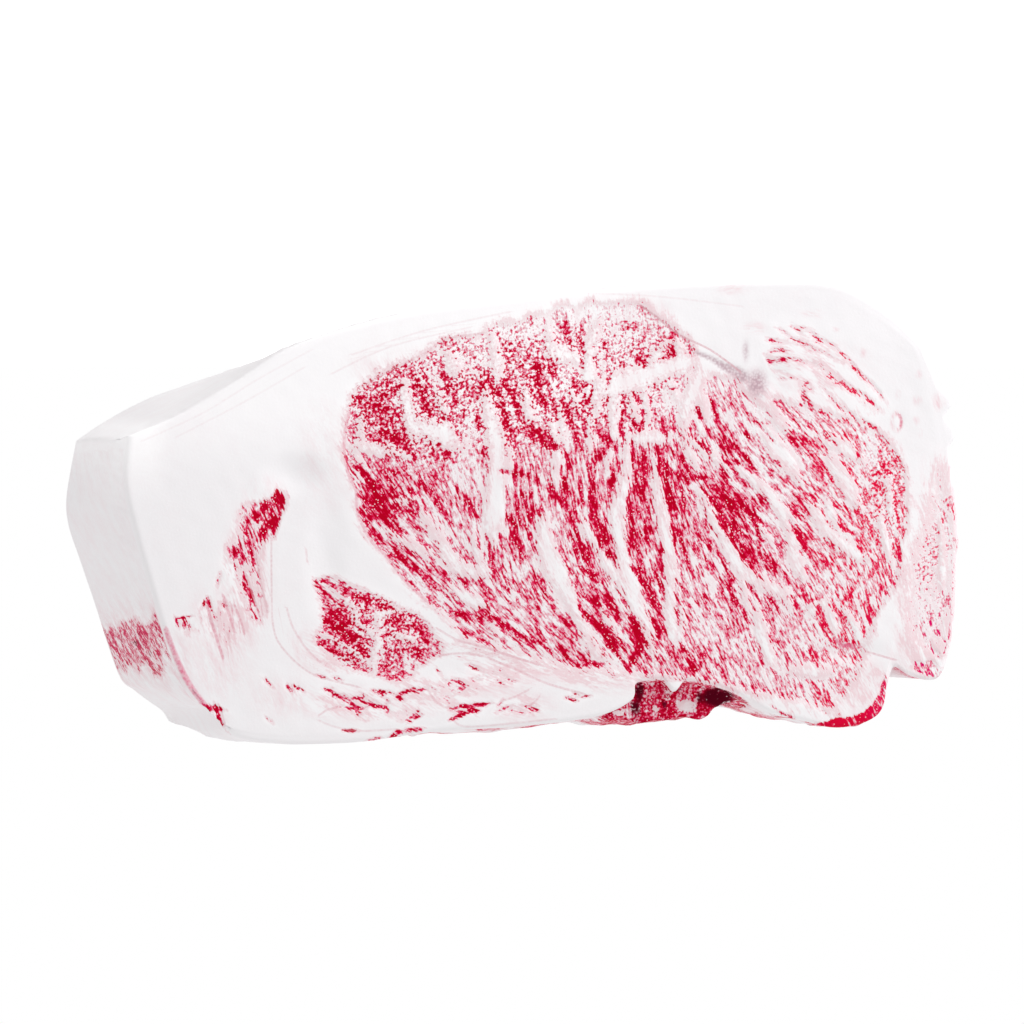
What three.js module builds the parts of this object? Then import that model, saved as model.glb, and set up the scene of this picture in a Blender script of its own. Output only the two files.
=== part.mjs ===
// A thick block of raw, heavily marbled beef sirloin that stands on its lower long side.
// Millimetres, +Z up. The large cut face looks along -Y, the fat cap is on top,
// the trimmed flank end is at -X and the rib side at +X.
import * as THREE from "three";
import { mergeVertices } from "three/addons/utils/BufferGeometryUtils.js";

// ---- Driving dimensions -------------------------------------------------------------
const THICKNESS = 80; // between the two knife cuts
const CUT_EDGE = 1.5; // radius that the knife-cut edges are rounded by
const POCKET_DEPTH = 9; // how far the pocket under the front edge reaches in
const SETTLE = 3.6; // how far the underside settles onto the table behind the front edge
const SETTLED_AT = 0.42; // share of the thickness behind which it has settled
const FADE = 0.12; // share of a face, or of the thickness, over which relief fades in
const HALF_SIZE = new THREE.Vector2(130, 67.5); // of a cut face
const FACE_MIDDLE = new THREE.Vector2(0, 66); // of a cut face, x and z

const COLUMNS = 60; // facets across a cut face
const ROWS = 26; // facets up a cut face

// How deep behind the front cut each ring of facets lies.
const RING_DEPTHS = [
  0, CUT_EDGE, POCKET_DEPTH - 1.5, POCKET_DEPTH, 20, 36, 58, THICKNESS - CUT_EDGE, THICKNESS,
];

// ---- Outlines of the two cut faces ----------------------------------------------------
// Each has four stretches, points [x, z], that run left to right and bottom to top and
// meet at the corners. Smooth curves pass through the points.
const FRONT = {
  fatCap: [
    [-126.2, 90.4], [-110, 97], [-94, 106.2], [-75.3, 117], [-45, 125.4], [-9, 130.2],
    [34, 134], [74, 135.2], [88, 134.6], [98, 131.2], [110.4, 123.2], [118.3, 115.6],
  ],
  ribSide: [
    [125.6, 17], [128.6, 28.5], [129.3, 45], [129.6, 62], [128.2, 75],
    [126.4, 90], [124, 102], [118.3, 115.6],
  ],
  trimmedEnd: [
    [-100.8, 10.6], [-106, 13.4], [-110.4, 19.2], [-115.2, 32], [-119.6, 47],
    [-124.6, 65], [-127.2, 78], [-126.2, 90.4],
  ],
  // from the trimmed corner along the table, over the pocket, round the lobe and the cleft
  underside: [
    [-100.8, 10.6], [-99.3, 7.6], [-97, 4], [-90, 1.5], [-76, 0], [-58, 0.2], [-34, 2.6],
    [-9, 3.4], [14.8, 5.7], [26, 10.2], [28.4, 15.8], [44, 15.6], [57.5, 12], [71, 5],
    [79, 3], [88, 0.5], [95, 0.3], [102.4, 2.4], [106, 6], [107.4, 13], [109.6, 18.3],
    [114, 16], [119.4, 14.1], [123.4, 14.3], [125.6, 17],
  ],
};
const BACK = {
  fatCap: [
    [-127, 86.3], [-119, 91.7], [-107, 98], [-94, 102.8], [-70, 110.2], [-35, 119.8],
    [8, 127], [50, 131], [78, 131], [93, 128.5], [105, 122], [118.5, 107],
  ],
  ribSide: [[119, 14], [123, 24], [126, 40], [127, 56], [126.5, 72], [124, 90], [118.5, 107]],
  trimmedEnd: [
    [-103.2, 4.9], [-109.4, 9.7], [-114.4, 15], [-122, 38], [-126.4, 51], [-129.6, 61],
    [-130, 70], [-127, 86.3],
  ],
  underside: [
    [-103.2, 4.9], [-96, 1], [-85, 0], [0, 0.4], [40, 1], [72, 3.6], [88, 1.2], [98, 2],
    [106, 6.4], [119, 14],
  ],
};

// ---- Smaller forms --------------------------------------------------------------------
// Behind the pocket the meat hangs down again, highest above the table at its rib end.
const POCKET = { from: 14, to: 70, low: 4.6, high: 9.5, risesFrom: 51, risesTo: 60 };
const ARCH = { middle: 68, half: 30 }; // where the underside spans clear of the table

// Torn shreds of fat on the rib side: height, half height, and how far each stands out.
const TORN_FAT = [
  { z: 98.8, half: 5, out: 3 },
  { z: 89, half: 5, out: 2.4 },
  { z: 55.5, half: 4, out: 0.7 },
];
const TORN_DEPTH = 16; // how far back the shreds reach

// Soft swellings and hollows of the front cut: middle, radii and height (below 0 a hollow).
const FACE_FORMS = [
  { x: 18, z: 75, rx: 88, rz: 58, h: 0.9 }, // the eye of the loin
  { x: -54, z: 34, rx: 22, rz: 15, h: 0.6 }, // the small side muscle
  { x: -77, z: 79, rx: 12, rz: 8, h: -1.6 }, // dimple above the flank muscle
  { x: -68, z: 52, rx: 8, rz: 26, h: -0.7 }, // membrane between fat and flank muscle
  { x: 69, z: 107, rx: 8, rz: 7, h: -0.8 }, // gristle knot
  { x: -20, z: 22, rx: 62, rz: 8, h: -0.6 }, // membrane under the eye
  { x: 94, z: 23, rx: 16, rz: 5, h: -0.9 }, // slit that runs in from the cleft
];

// ---- Curves ---------------------------------------------------------------------------

const smooth = (from, to, value) => THREE.MathUtils.smoothstep(value, from, to);

// 1 in the middle of a bump, falling along a cosine to 0 at t = 1.
const bump = (t) => (Math.abs(t) < 1 ? 0.5 + 0.5 * Math.cos(Math.PI * t) : 0);

// The stretches of an outline as evenly measured curves.
const curvesOf = (outline) =>
  Object.fromEntries(
    Object.entries(outline).map(([name, points]) => [
      name,
      new THREE.SplineCurve(points.map(([x, z]) => new THREE.Vector2(x, z))),
    ]),
  );

// A point inside an outline, as a Coons patch: the blend of the two pairs of opposite
// stretches, less the blend of the four corners that both of them hold.
function pointInside({ underside, fatCap, trimmedEnd, ribSide }, across, up) {
  const mix = (a, b, t) => new THREE.Vector2().lerpVectors(a, b, t);
  const upright = mix(underside.getPointAt(across), fatCap.getPointAt(across), up);
  const level = mix(trimmedEnd.getPointAt(up), ribSide.getPointAt(up), across);
  const corners = mix(
    mix(underside.getPointAt(0), underside.getPointAt(1), across),
    mix(fatCap.getPointAt(0), fatCap.getPointAt(1), across),
    up,
  );
  return upright.add(level).sub(corners);
}

// ---- Relief ---------------------------------------------------------------------------

// Gentle unevenness that the knife leaves on a cut face.
const knifeWaves = (x, z) =>
  0.28 * Math.sin(x / 17 + z / 31) + 0.22 * Math.sin(z / 13 - x / 41 + 1.3) +
  0.16 * Math.sin(x / 8.5 - z / 11 + 0.7);

// Ridges and hollows of the outer skin of fat.
const skinWaves = (x, y, z) =>
  0.3 * Math.sin(x / 15 + y / 34 + 0.4) + 0.3 * Math.sin(z / 12 - y / 19 + 2.1) +
  0.2 * Math.sin((x + z) / 7 + y / 11);

const faceRelief = (x, z) =>
  FACE_FORMS.reduce(
    (sum, { x: cx, z: cz, rx, rz, h }) => sum + h * bump(Math.hypot((x - cx) / rx, (z - cz) / rz)),
    knifeWaves(x, z),
  );

// How far the torn shreds stand out of the rib side.
const tornFat = (depth, z) =>
  (1 - smooth(CUT_EDGE, TORN_DEPTH, depth)) *
  TORN_FAT.reduce((sum, shred) => sum + shred.out * bump((z - shred.z) / shred.half), 0);

// How far the meat behind the pocket hangs below the pocket's ceiling.
function hangBehindPocket({ x, y: z }) {
  const { from, to, low, high, risesFrom, risesTo } = POCKET;
  const gap = low + (high - low) * smooth(risesFrom, risesTo, x);
  const along = smooth(from, from + 10, x) * (1 - smooth(to - 8, to, x));
  return Math.max(z - gap, 0) * along;
}

// 1 where the underside sinks all the way to the table, 0 where it stays clear of it.
const restsOnTable = ({ x, y: z }) =>
  (1 - smooth(3.5, 8, z)) * (1 - bump((x - ARCH.middle) / ARCH.half));

// ---- The block ------------------------------------------------------------------------

// Where a point of the unit cube goes. The cube's -Y face becomes the front cut.
function place(cube, front, back) {
  const across = cube.x + 0.5;
  const up = cube.z + 0.5;
  const ring = Math.round((cube.y + 0.5) * (RING_DEPTHS.length - 1));
  const depth = RING_DEPTHS[ring];
  const share = depth / THICKNESS;
  const isCut = depth === 0 || depth === THICKNESS;
  const columns = across + 0.3 * across * (1 - across); // closer together on the rib side

  const onFront = pointInside(front, columns, up);
  if (depth >= POCKET_DEPTH) onFront.y -= hangBehindPocket(onFront) * (1 - smooth(0, 0.2, up));
  const point = onFront.clone().lerp(pointInside(back, columns, up), share);
  if (isCut) {
    const inset = new THREE.Vector2(CUT_EDGE, CUT_EDGE).divide(HALF_SIZE);
    point.sub(point.clone().sub(FACE_MIDDLE).multiply(inset));
  }

  const inward = smooth(0, FADE, Math.min(across, 1 - across, up, 1 - up));
  let y = depth - THICKNESS / 2;
  if (depth === 0) y -= faceRelief(point.x, point.y) * inward;
  if (depth === THICKNESS) y += knifeWaves(point.x + 40, point.y) * inward;

  const betweenCuts = smooth(0, FADE, share) * smooth(0, FADE, 1 - share);
  const wave = skinWaves(point.x, y, point.y) * betweenCuts;
  if (up === 1) point.y += wave;
  if (across === 0) point.x += 0.4 * wave;
  if (across === 1) point.x += wave + tornFat(depth, point.y);
  if (up === 0) point.y -= SETTLE * smooth(0, SETTLED_AT, share) * restsOnTable(onFront);
  return new THREE.Vector3(point.x, y, Math.max(point.y, 0));
}

// Stands the block on the table, with the middle of its box over the origin.
function standOnOrigin(geometry) {
  geometry.computeBoundingBox();
  const { min } = geometry.boundingBox;
  const centre = geometry.boundingBox.getCenter(new THREE.Vector3());
  geometry.translate(-centre.x, -centre.y, -min.z);
}

function sirloinGeometry() {
  const cube = new THREE.BoxGeometry(1, 1, 1, COLUMNS, RING_DEPTHS.length - 1, ROWS);
  cube.deleteAttribute("normal");
  cube.deleteAttribute("uv");
  const geometry = mergeVertices(cube, 1e-4);
  const position = geometry.getAttribute("position");
  const front = curvesOf(FRONT);
  const back = curvesOf(BACK);
  const corner = new THREE.Vector3();
  for (let i = 0; i < position.count; i++) {
    corner.fromBufferAttribute(position, i);
    position.setXYZ(i, ...place(corner, front, back));
  }
  standOnOrigin(geometry);
  geometry.computeVertexNormals();
  return geometry;
}

const marbledBeef = new THREE.MeshStandardMaterial({
  color: 0xe6b4bd,
  roughness: 0.42,
  metalness: 0,
});

const steak = new THREE.Group();
const sirloin = new THREE.Mesh(sirloinGeometry(), marbledBeef);
sirloin.name = "sirloin";
steak.add(sirloin);

export default steak;
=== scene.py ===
"""A thick block of raw, heavily marbled beef sirloin that stands on its lower long side.

The block's shape is worked out in millimetres, +Z up, with the large cut face towards -Y,
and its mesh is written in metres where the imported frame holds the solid.
"""

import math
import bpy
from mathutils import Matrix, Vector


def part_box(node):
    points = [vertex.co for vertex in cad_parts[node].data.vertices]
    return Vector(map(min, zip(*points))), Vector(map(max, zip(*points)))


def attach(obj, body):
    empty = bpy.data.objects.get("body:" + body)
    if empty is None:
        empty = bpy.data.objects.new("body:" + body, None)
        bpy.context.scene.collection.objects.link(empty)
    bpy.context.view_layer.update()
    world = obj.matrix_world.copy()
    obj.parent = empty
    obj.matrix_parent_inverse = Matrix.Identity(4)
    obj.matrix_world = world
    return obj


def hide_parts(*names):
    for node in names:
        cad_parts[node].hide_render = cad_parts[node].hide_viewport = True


bl_info = {
    "name": "Marbled Sirloin Block",
    "version": (1, 0, 0),
    "blender": (4, 5, 0),
    "location": "3D View > Sidebar > Sirloin",
    "description": "Makes a raw marbled sirloin block, its studio and its camera",
    "category": "Add Mesh",
}

import bpy
import numpy as np
from bpy.props import FloatProperty, FloatVectorProperty, IntProperty, PointerProperty
from mathutils import Vector

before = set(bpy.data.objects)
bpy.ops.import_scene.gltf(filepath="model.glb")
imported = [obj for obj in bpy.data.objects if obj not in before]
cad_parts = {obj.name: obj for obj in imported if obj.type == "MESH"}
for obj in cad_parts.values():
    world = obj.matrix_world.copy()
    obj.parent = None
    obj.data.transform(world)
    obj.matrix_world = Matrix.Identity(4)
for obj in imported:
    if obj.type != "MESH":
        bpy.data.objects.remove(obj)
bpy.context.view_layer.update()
SOLID_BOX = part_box("sirloin")

MM = 0.001  # metres in a millimetre

# ---- Shape of the block, as the solid has it ------------------------------------------

THICKNESS = 80.0  # between the two knife cuts
CUT_EDGE = 1.5  # radius that the knife-cut edges are rounded by
POCKET_DEPTH = 9.0  # how far the pocket under the front edge reaches in
POCKET_STEP = 1.5  # over how much depth the pocket's wall comes down
SETTLE = 3.6  # how far the underside settles onto the table behind the front edge
SETTLED_AT = 0.42  # share of the thickness behind which it has settled
FADE = 0.12  # share of a face, or of the thickness, over which relief fades in
HALF_SIZE = np.array([130.0, 67.5])  # of a cut face
FACE_MIDDLE = np.array([0.0, 66.0])  # of a cut face, x and z

# Outlines of the two cut faces, in stretches of points (x, z) that meet at the corners.
FRONT = {
    "fat_cap": [
        (-126.2, 90.4), (-110, 97), (-94, 106.2), (-75.3, 117), (-45, 125.4), (-9, 130.2),
        (34, 134), (74, 135.2), (88, 134.6), (98, 131.2), (110.4, 123.2), (118.3, 115.6),
    ],
    "rib_side": [
        (125.6, 17), (128.6, 28.5), (129.3, 45), (129.6, 62), (128.2, 75), (126.4, 90),
        (124, 102), (118.3, 115.6),
    ],
    "trimmed_end": [
        (-100.8, 10.6), (-106, 13.4), (-110.4, 19.2), (-115.2, 32), (-119.6, 47),
        (-124.6, 65), (-127.2, 78), (-126.2, 90.4),
    ],
    "underside": [
        (-100.8, 10.6), (-99.3, 7.6), (-97, 4), (-90, 1.5), (-76, 0), (-58, 0.2),
        (-34, 2.6), (-9, 3.4), (14.8, 5.7), (26, 10.2), (28.4, 15.8), (44, 15.6),
        (57.5, 12), (71, 5), (79, 3), (88, 0.5), (95, 0.3), (102.4, 2.4), (106, 6),
        (107.4, 13), (109.6, 18.3), (114, 16), (119.4, 14.1), (123.4, 14.3), (125.6, 17),
    ],
}
BACK = {
    "fat_cap": [
        (-127, 86.3), (-119, 91.7), (-107, 98), (-94, 102.8), (-70, 110.2), (-35, 119.8),
        (8, 127), (50, 131), (78, 131), (93, 128.5), (105, 122), (118.5, 107),
    ],
    "rib_side": [
        (119, 14), (123, 24), (126, 40), (127, 56), (126.5, 72), (124, 90), (118.5, 107),
    ],
    "trimmed_end": [
        (-103.2, 4.9), (-109.4, 9.7), (-114.4, 15), (-122, 38), (-126.4, 51),
        (-129.6, 61), (-130, 70), (-127, 86.3),
    ],
    "underside": [
        (-103.2, 4.9), (-96, 1), (-85, 0), (0, 0.4), (40, 1), (72, 3.6), (88, 1.2),
        (98, 2), (106, 6.4), (119, 14),
    ],
}
POCKET = {"from": 14, "to": 70, "low": 4.6, "high": 9.5, "rises_from": 51, "rises_to": 60}
ARCH = {"middle": 68, "half": 30}  # where the underside spans clear of the table
FLAP = {"x": 39.4, "half": 3.6, "drop": 3.5, "depth": 5.0}  # tip of fat over the pocket

# Torn shreds of fat on the rib side: height, half height, and how far each stands out.
TORN_FAT = [(98.8, 5, 3.0), (89, 5, 2.4), (55.5, 4, 0.7)]
TORN_DEPTH = 16  # how far back the shreds reach

# Soft swellings and hollows of the front cut: x, z, radii and height (below 0 a hollow).
FACE_FORMS = [
    (18, 75, 88, 58, 0.9),  # the eye of the loin
    (-54, 34, 22, 15, 0.6),  # the small side muscle
    (-77, 79, 12, 8, -1.6),  # dimple above the flank muscle
    (-68, 52, 8, 26, -0.7),  # membrane between fat and flank muscle
    (69, 107, 8, 7, -0.8),  # gristle knot
    (-20, 22, 62, 8, -0.6),  # membrane under the eye
    (94, 23, 16, 5, -0.9),  # slit that runs in from the cleft
]

# ---- Steps of the mesh, and its UV map --------------------------------------------------

# Depths of the rings of points between the two cuts; the second list has half the points.
FRONT_RINGS = (3.0, 5.5, 7.5, 7.85, 8.05, 8.2, 8.35, 8.5, 8.7, 9.0, 11.0, 14.0)
BACK_RINGS = (18.0, 24.0, 31.0, 40.0, 49.0, 58.0, 67.0, 74.0, 77.0)
EDGE_STEPS = (30.0, 60.0, 90.0)  # degrees round a rounded cut edge
CROWDING = 0.3  # how much closer together the columns of points lie on the rib side

# Where each part of the surface lies on the UV map: lowest u and v, highest u and v.
UV_FRONT = (0.004, 0.484, 0.996, 0.996)
UV_BACK = (0.004, 0.004, 0.496, 0.256)
UV_SIDES = [
    (0.504, 0.164, 0.996, 0.308),  # underside
    (0.264, 0.28, 0.496, 0.43),  # rib side
    (0.504, 0.004, 0.996, 0.148),  # fat cap
    (0.004, 0.28, 0.236, 0.43),  # trimmed end
]

# ---- Muscles of the front cut, outlines in x and z ------------------------------------

EYE = [
    (-59, 101.5), (-54, 106.5), (-45, 110.5), (-37.5, 113.5), (-32.5, 117.5),
    (-21, 119.5), (-16.5, 122.5), (-10, 122.5), (-2.5, 125.5), (5, 128), (21.5, 128.8),
    (28, 128.2), (31, 126), (36.5, 122.5), (41, 119), (44.5, 115), (46.5, 108),
    (59.5, 105.5), (67, 101), (78.5, 98), (90, 95), (97.5, 93), (104, 89), (109, 84),
    (112.5, 75), (113, 60.5), (110.5, 54.5), (110, 44.5), (104, 35.5), (100.5, 26.5),
    (97, 16), (88, 6.5), (75.5, 9.5), (60, 13), (44.5, 16.5), (34.5, 17.5), (19, 19.5),
    (3.5, 21.5), (-9, 25), (-24.5, 30), (-33.5, 38.5), (-43.5, 47), (-49.5, 54.5),
    (-54, 59), (-58, 67), (-58.5, 74), (-61, 79), (-62, 84.5), (-61.5, 92),
]
SIDE_MUSCLE = [
    (-70, 46), (-68.5, 48.7), (-64, 48), (-60.5, 46.5), (-53.5, 43.5), (-45, 39),
    (-38.5, 36), (-34, 30), (-33, 26), (-38.5, 23), (-43, 18.5), (-48, 18.5),
    (-52.5, 20), (-60.5, 22), (-66.5, 26), (-71, 31), (-68.5, 35.5), (-69.5, 41.5),
]
FLANK = [
    (-80.2, 73.3), (-82.6, 73.2), (-83.2, 70.5), (-84, 71.8), (-87, 71), (-89.8, 70.5),
    (-89.3, 67), (-88.2, 65), (-86.3, 65.6), (-87.6, 61.6), (-84.5, 60), (-82.6, 62.5),
    (-80.9, 66.5), (-80, 70),
]
PALE_FLANK = [
    (-90, 70), (-93, 69), (-94, 64), (-96.5, 59.5), (-98.3, 54), (-95.2, 48.5), (-93, 42.5),
    (-90, 37), (-86.2, 37), (-86.5, 44), (-88, 52), (-87, 58), (-88.5, 64),
]
RIB_MUSCLE = [
    (123, 77), (126, 74), (128.5, 66), (129.6, 58), (129.3, 46), (128, 36), (125, 28),
    (120, 24), (115.5, 27), (113.5, 34), (113.8, 44), (116, 53), (119, 60), (120.5, 68),
]
# Outline, how much richer its red is than elsewhere, its greatest reach in the field and
# how firm its edge is: a low reach lets fat break through everywhere.
MUSCLES = [
    (EYE, 0.0, 1.5, 1.0),
    (SIDE_MUSCLE, 0.02, 1.5, 1.5),
    (FLANK, 0.28, 1.4, 2.0),
    (PALE_FLANK, -0.16, 0.2, 1.5),
    (RIB_MUSCLE, -0.27, 1.3, 0.4),
]

# ---- Seams of fat inside the muscles: (x, z, half width) along each -------------------

FAT_SEAMS = [
    # upper left of the eye
    ((-31, 114, 1.0), (-29, 110, 1.8)), ((-17, 117, 1.0), (-16, 110, 1.8)),
    ((-20.5, 106, 0.6), (-19.5, 101, 1.2), (-18.5, 97, 1.9), (-16.5, 90, 2.7), (-16, 82, 3.2),
     (-16.5, 74, 3.2), (-17, 66, 3.0), (-17, 61, 2.0), (-18, 57, 0.8)),
    ((-44, 102, 1.6), (-42, 94, 2.2)), ((-38, 92.5, 2.6), (-33, 90, 3.4)),
    ((-33, 99.5, 1.2), (-32, 97, 0.9)), ((-56, 86.5, 1.4), (-50, 85.5, 1.8)),
    ((-57, 93.5, 0.9), (-57, 90, 1.2)), ((-58, 82.5, 0.8), (-57.5, 80.5, 1.0)),
    ((-49, 84.5, 0.6), (-43.5, 84, 0.8)), ((-12.5, 85, 1.0), (-12.5, 81, 1.2)),
    ((-7, 100, 1.4), (-6.5, 96, 1.5)), ((-45, 71, 0.8), (-42.5, 71, 0.8)),
    ((-46, 60, 1.3), (-42.5, 58, 1.9), (-39, 56, 1.6)),
    ((-38.5, 67, 0.9), (-36.5, 63.5, 1.8), (-34.5, 60, 1.2)),
    ((-34, 62, 0.9), (-32.5, 58, 1.5), (-31, 54, 1.8), (-28, 50.5, 2.0), (-22, 49.5, 1.8)),
    ((-23.5, 60, 0.7), (-22, 56, 1.2), (-21, 51, 1.1)), ((-27, 43, 1.6), (-23, 41, 2.1)),
    ((-17.5, 34.5, 0.5), (-16.5, 31.5, 0.6)),
    # top of the eye
    ((0.5, 118, 1.2), (1.5, 113.5, 2.2), (5, 114, 2.6), (9, 112, 1.3)),
    ((15, 121.5, 0.8), (13, 116, 2.2), (12.3, 110, 1.7), (13, 103, 1.6), (15, 99, 1.6),
     (15.7, 95.5, 0.6)), ((20, 104.5, 3.3), (27, 106, 3.6), (34, 108.7, 3.1), (41, 110.5, 2.4)),
    ((33, 112, 1.2), (36, 117, 1.0), (39, 117, 1.2), (42, 112, 1.6)),
    ((20.5, 102, 1.4), (20.2, 96, 1.4), (19.3, 89.5, 0.8)), ((26, 99, 1.2), (27, 94.5, 1.2)),
    ((29.4, 102, 0.9), (30.3, 95, 0.7)), ((38.5, 103, 1.0), (39.5, 101.5, 1.0)),
    ((24, 88.3, 1.4), (28.5, 88.3, 2.3), (33, 88.7, 2.0)),
    ((46.5, 106, 2.4), (43, 99, 1.9), (41.8, 91, 1.3), (43, 84.5, 1.0), (45.5, 80.5, 0.6)),
    ((45.5, 103, 1.8), (48, 98, 1.2), (47.5, 92, 0.9)),
    # middle of the eye
    ((1, 91.5, 0.8), (2, 86, 1.3), (2, 81, 1.4), (1.6, 77, 1.0)),
    ((3.6, 95.5, 0.5), (4.2, 91, 0.9), (3.8, 88.5, 0.6)),
    ((13.2, 93.5, 1.1), (13, 90, 1.5), (12.4, 86, 0.9)), ((7.5, 101, 0.7), (9, 97, 0.7)),
    ((17.5, 87, 0.7), (18, 82, 1.0)),
    ((-2, 63, 1.6), (-1.5, 57, 2.8), (1.5, 50, 3.1), (5, 45, 2.4), (7.5, 40, 2.0), (10, 34, 1.2),
     (12, 29, 1.6), (14.5, 25, 1.5), (16.5, 23.5, 0.8)),
    ((24, 87.5, 1.0), (24, 82, 1.3), (22.8, 75, 1.5), (21, 68, 2.4), (22, 61, 2.1),
     (21.7, 55, 1.8), (23, 50, 2.7), (25.5, 44, 2.7), (27.3, 38, 2.0), (30, 32, 1.8),
     (31.5, 27, 1.5)), ((11, 62, 1.3), (13, 59, 1.3), (15, 56.5, 0.6)),
    ((16, 56, 0.6), (17, 52, 1.2), (20, 48.5, 1.5), (23, 46.5, 1.6)),
    ((16, 45, 0.6), (20, 44.3, 0.8)), ((16.5, 37.5, 0.6), (19, 32.5, 1.0), (21, 29, 0.7)),
    ((33, 80.5, 0.7), (33.6, 76, 1.3), (34, 70, 1.6), (35.5, 62, 2.0), (37, 54, 1.8),
     (38, 48, 1.9), (37.6, 42, 1.4), (38, 36, 1.7), (38.6, 31, 1.0)),
    ((41, 37, 0.9), (41.5, 33, 1.2), (40.5, 29, 0.7)),
    ((44, 88, 0.8), (49, 84.5, 1.1), (54, 80, 0.8)),
    ((48, 71.5, 0.7), (49.5, 67, 1.2), (52, 62, 1.2), (54, 59.5, 1.3), (57, 54, 2.0),
     (61, 48.5, 2.1), (65, 45.5, 1.8), (69, 43.3, 1.6), (73, 42, 1.7), (75, 38.5, 1.1)),
    ((61, 44, 1.2), (62, 39, 0.8)), ((66, 34, 1.4), (67.5, 28, 1.8), (69, 23, 1.2)),
    # right of the eye
    ((60, 78.5, 0.6), (65, 74.5, 1.3), (69, 71, 1.7), (73, 67, 2.0), (76, 60, 1.7), (77, 54, 2.1),
     (78.5, 49, 1.8), (79.5, 46, 0.9)), ((66.5, 61, 0.9), (68, 59, 0.9)),
    ((69, 88, 1.6), (71.5, 84, 3.0), (74.5, 80, 2.2), (78, 76, 0.8)),
    ((62, 103, 1.6), (69, 98, 1.8), (73, 92, 1.6)),
    ((84, 65, 1.8), (88, 60, 2.4), (92, 56, 2.1), (96, 53, 1.9), (99.5, 52, 1.0)),
    ((88, 66.3, 0.8), (90, 63.5, 0.8)), ((88, 87.5, 1.3), (94, 84.5, 2.2), (97.5, 82, 0.9)),
    ((90.5, 79, 2.0), (94, 73, 2.5), (97, 67.5, 0.9)),
    ((104.3, 62.5, 0.8), (106, 56.5, 0.9), (107, 52, 0.5)), ((107, 73, 1.2), (107.6, 67.5, 0.8)),
    ((82, 38.5, 1.2), (83, 36.5, 1.6), (86, 38.2, 0.9)), ((89, 33.8, 0.9), (89.6, 32, 0.9)),
    ((93.5, 35, 0.8), (97, 30, 1.0)), ((79, 18, 1.4), (85, 17.5, 1.5)),
    ((124, 60, 0.4), (124.8, 52, 0.9), (124.4, 44, 0.6)),
]

# Fat that splits the side muscle's lobes, strands and all.
CLEFTS = [
    ((-66.5, 46, 0.4), (-62, 42.5, 0.7), (-59, 39.5, 0.9), (-58, 35, 0.8), (-55, 33, 0.9)),
    ((-46.5, 38.8, 0.6), (-50, 38, 1.0), (-52.6, 37, 1.0), (-51.2, 35, 0.8), (-53.3, 32.3, 1.1),
     (-51.8, 29.4, 1.2), (-53.4, 26.5, 1.1), (-52.7, 20, 1.0)),
    ((-45.2, 31.2, 1.0), (-43, 30.4, 1.1)),
    ((-70, 32.3, 0.5), (-65.5, 30.9, 0.5), (-61, 28, 0.6), (-57.5, 25.8, 0.7), (-54.5, 22.5, 0.5)),
    ((-66, 27.5, 0.3), (-62.5, 25.5, 0.3)), ((-61, 24.6, 0.2), (-57, 23, 0.2)),
    ((-62, 38, 0.1), (-65, 41.5, 0.2)), ((-57, 40, 0.2), (-54.5, 37, 0.3)),
]

# ---- Strands of lean: (x, z, half width) along each -----------------------------------
# Inside a muscle they are its darkest bundles; in the fat they are streaks of meat.

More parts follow.
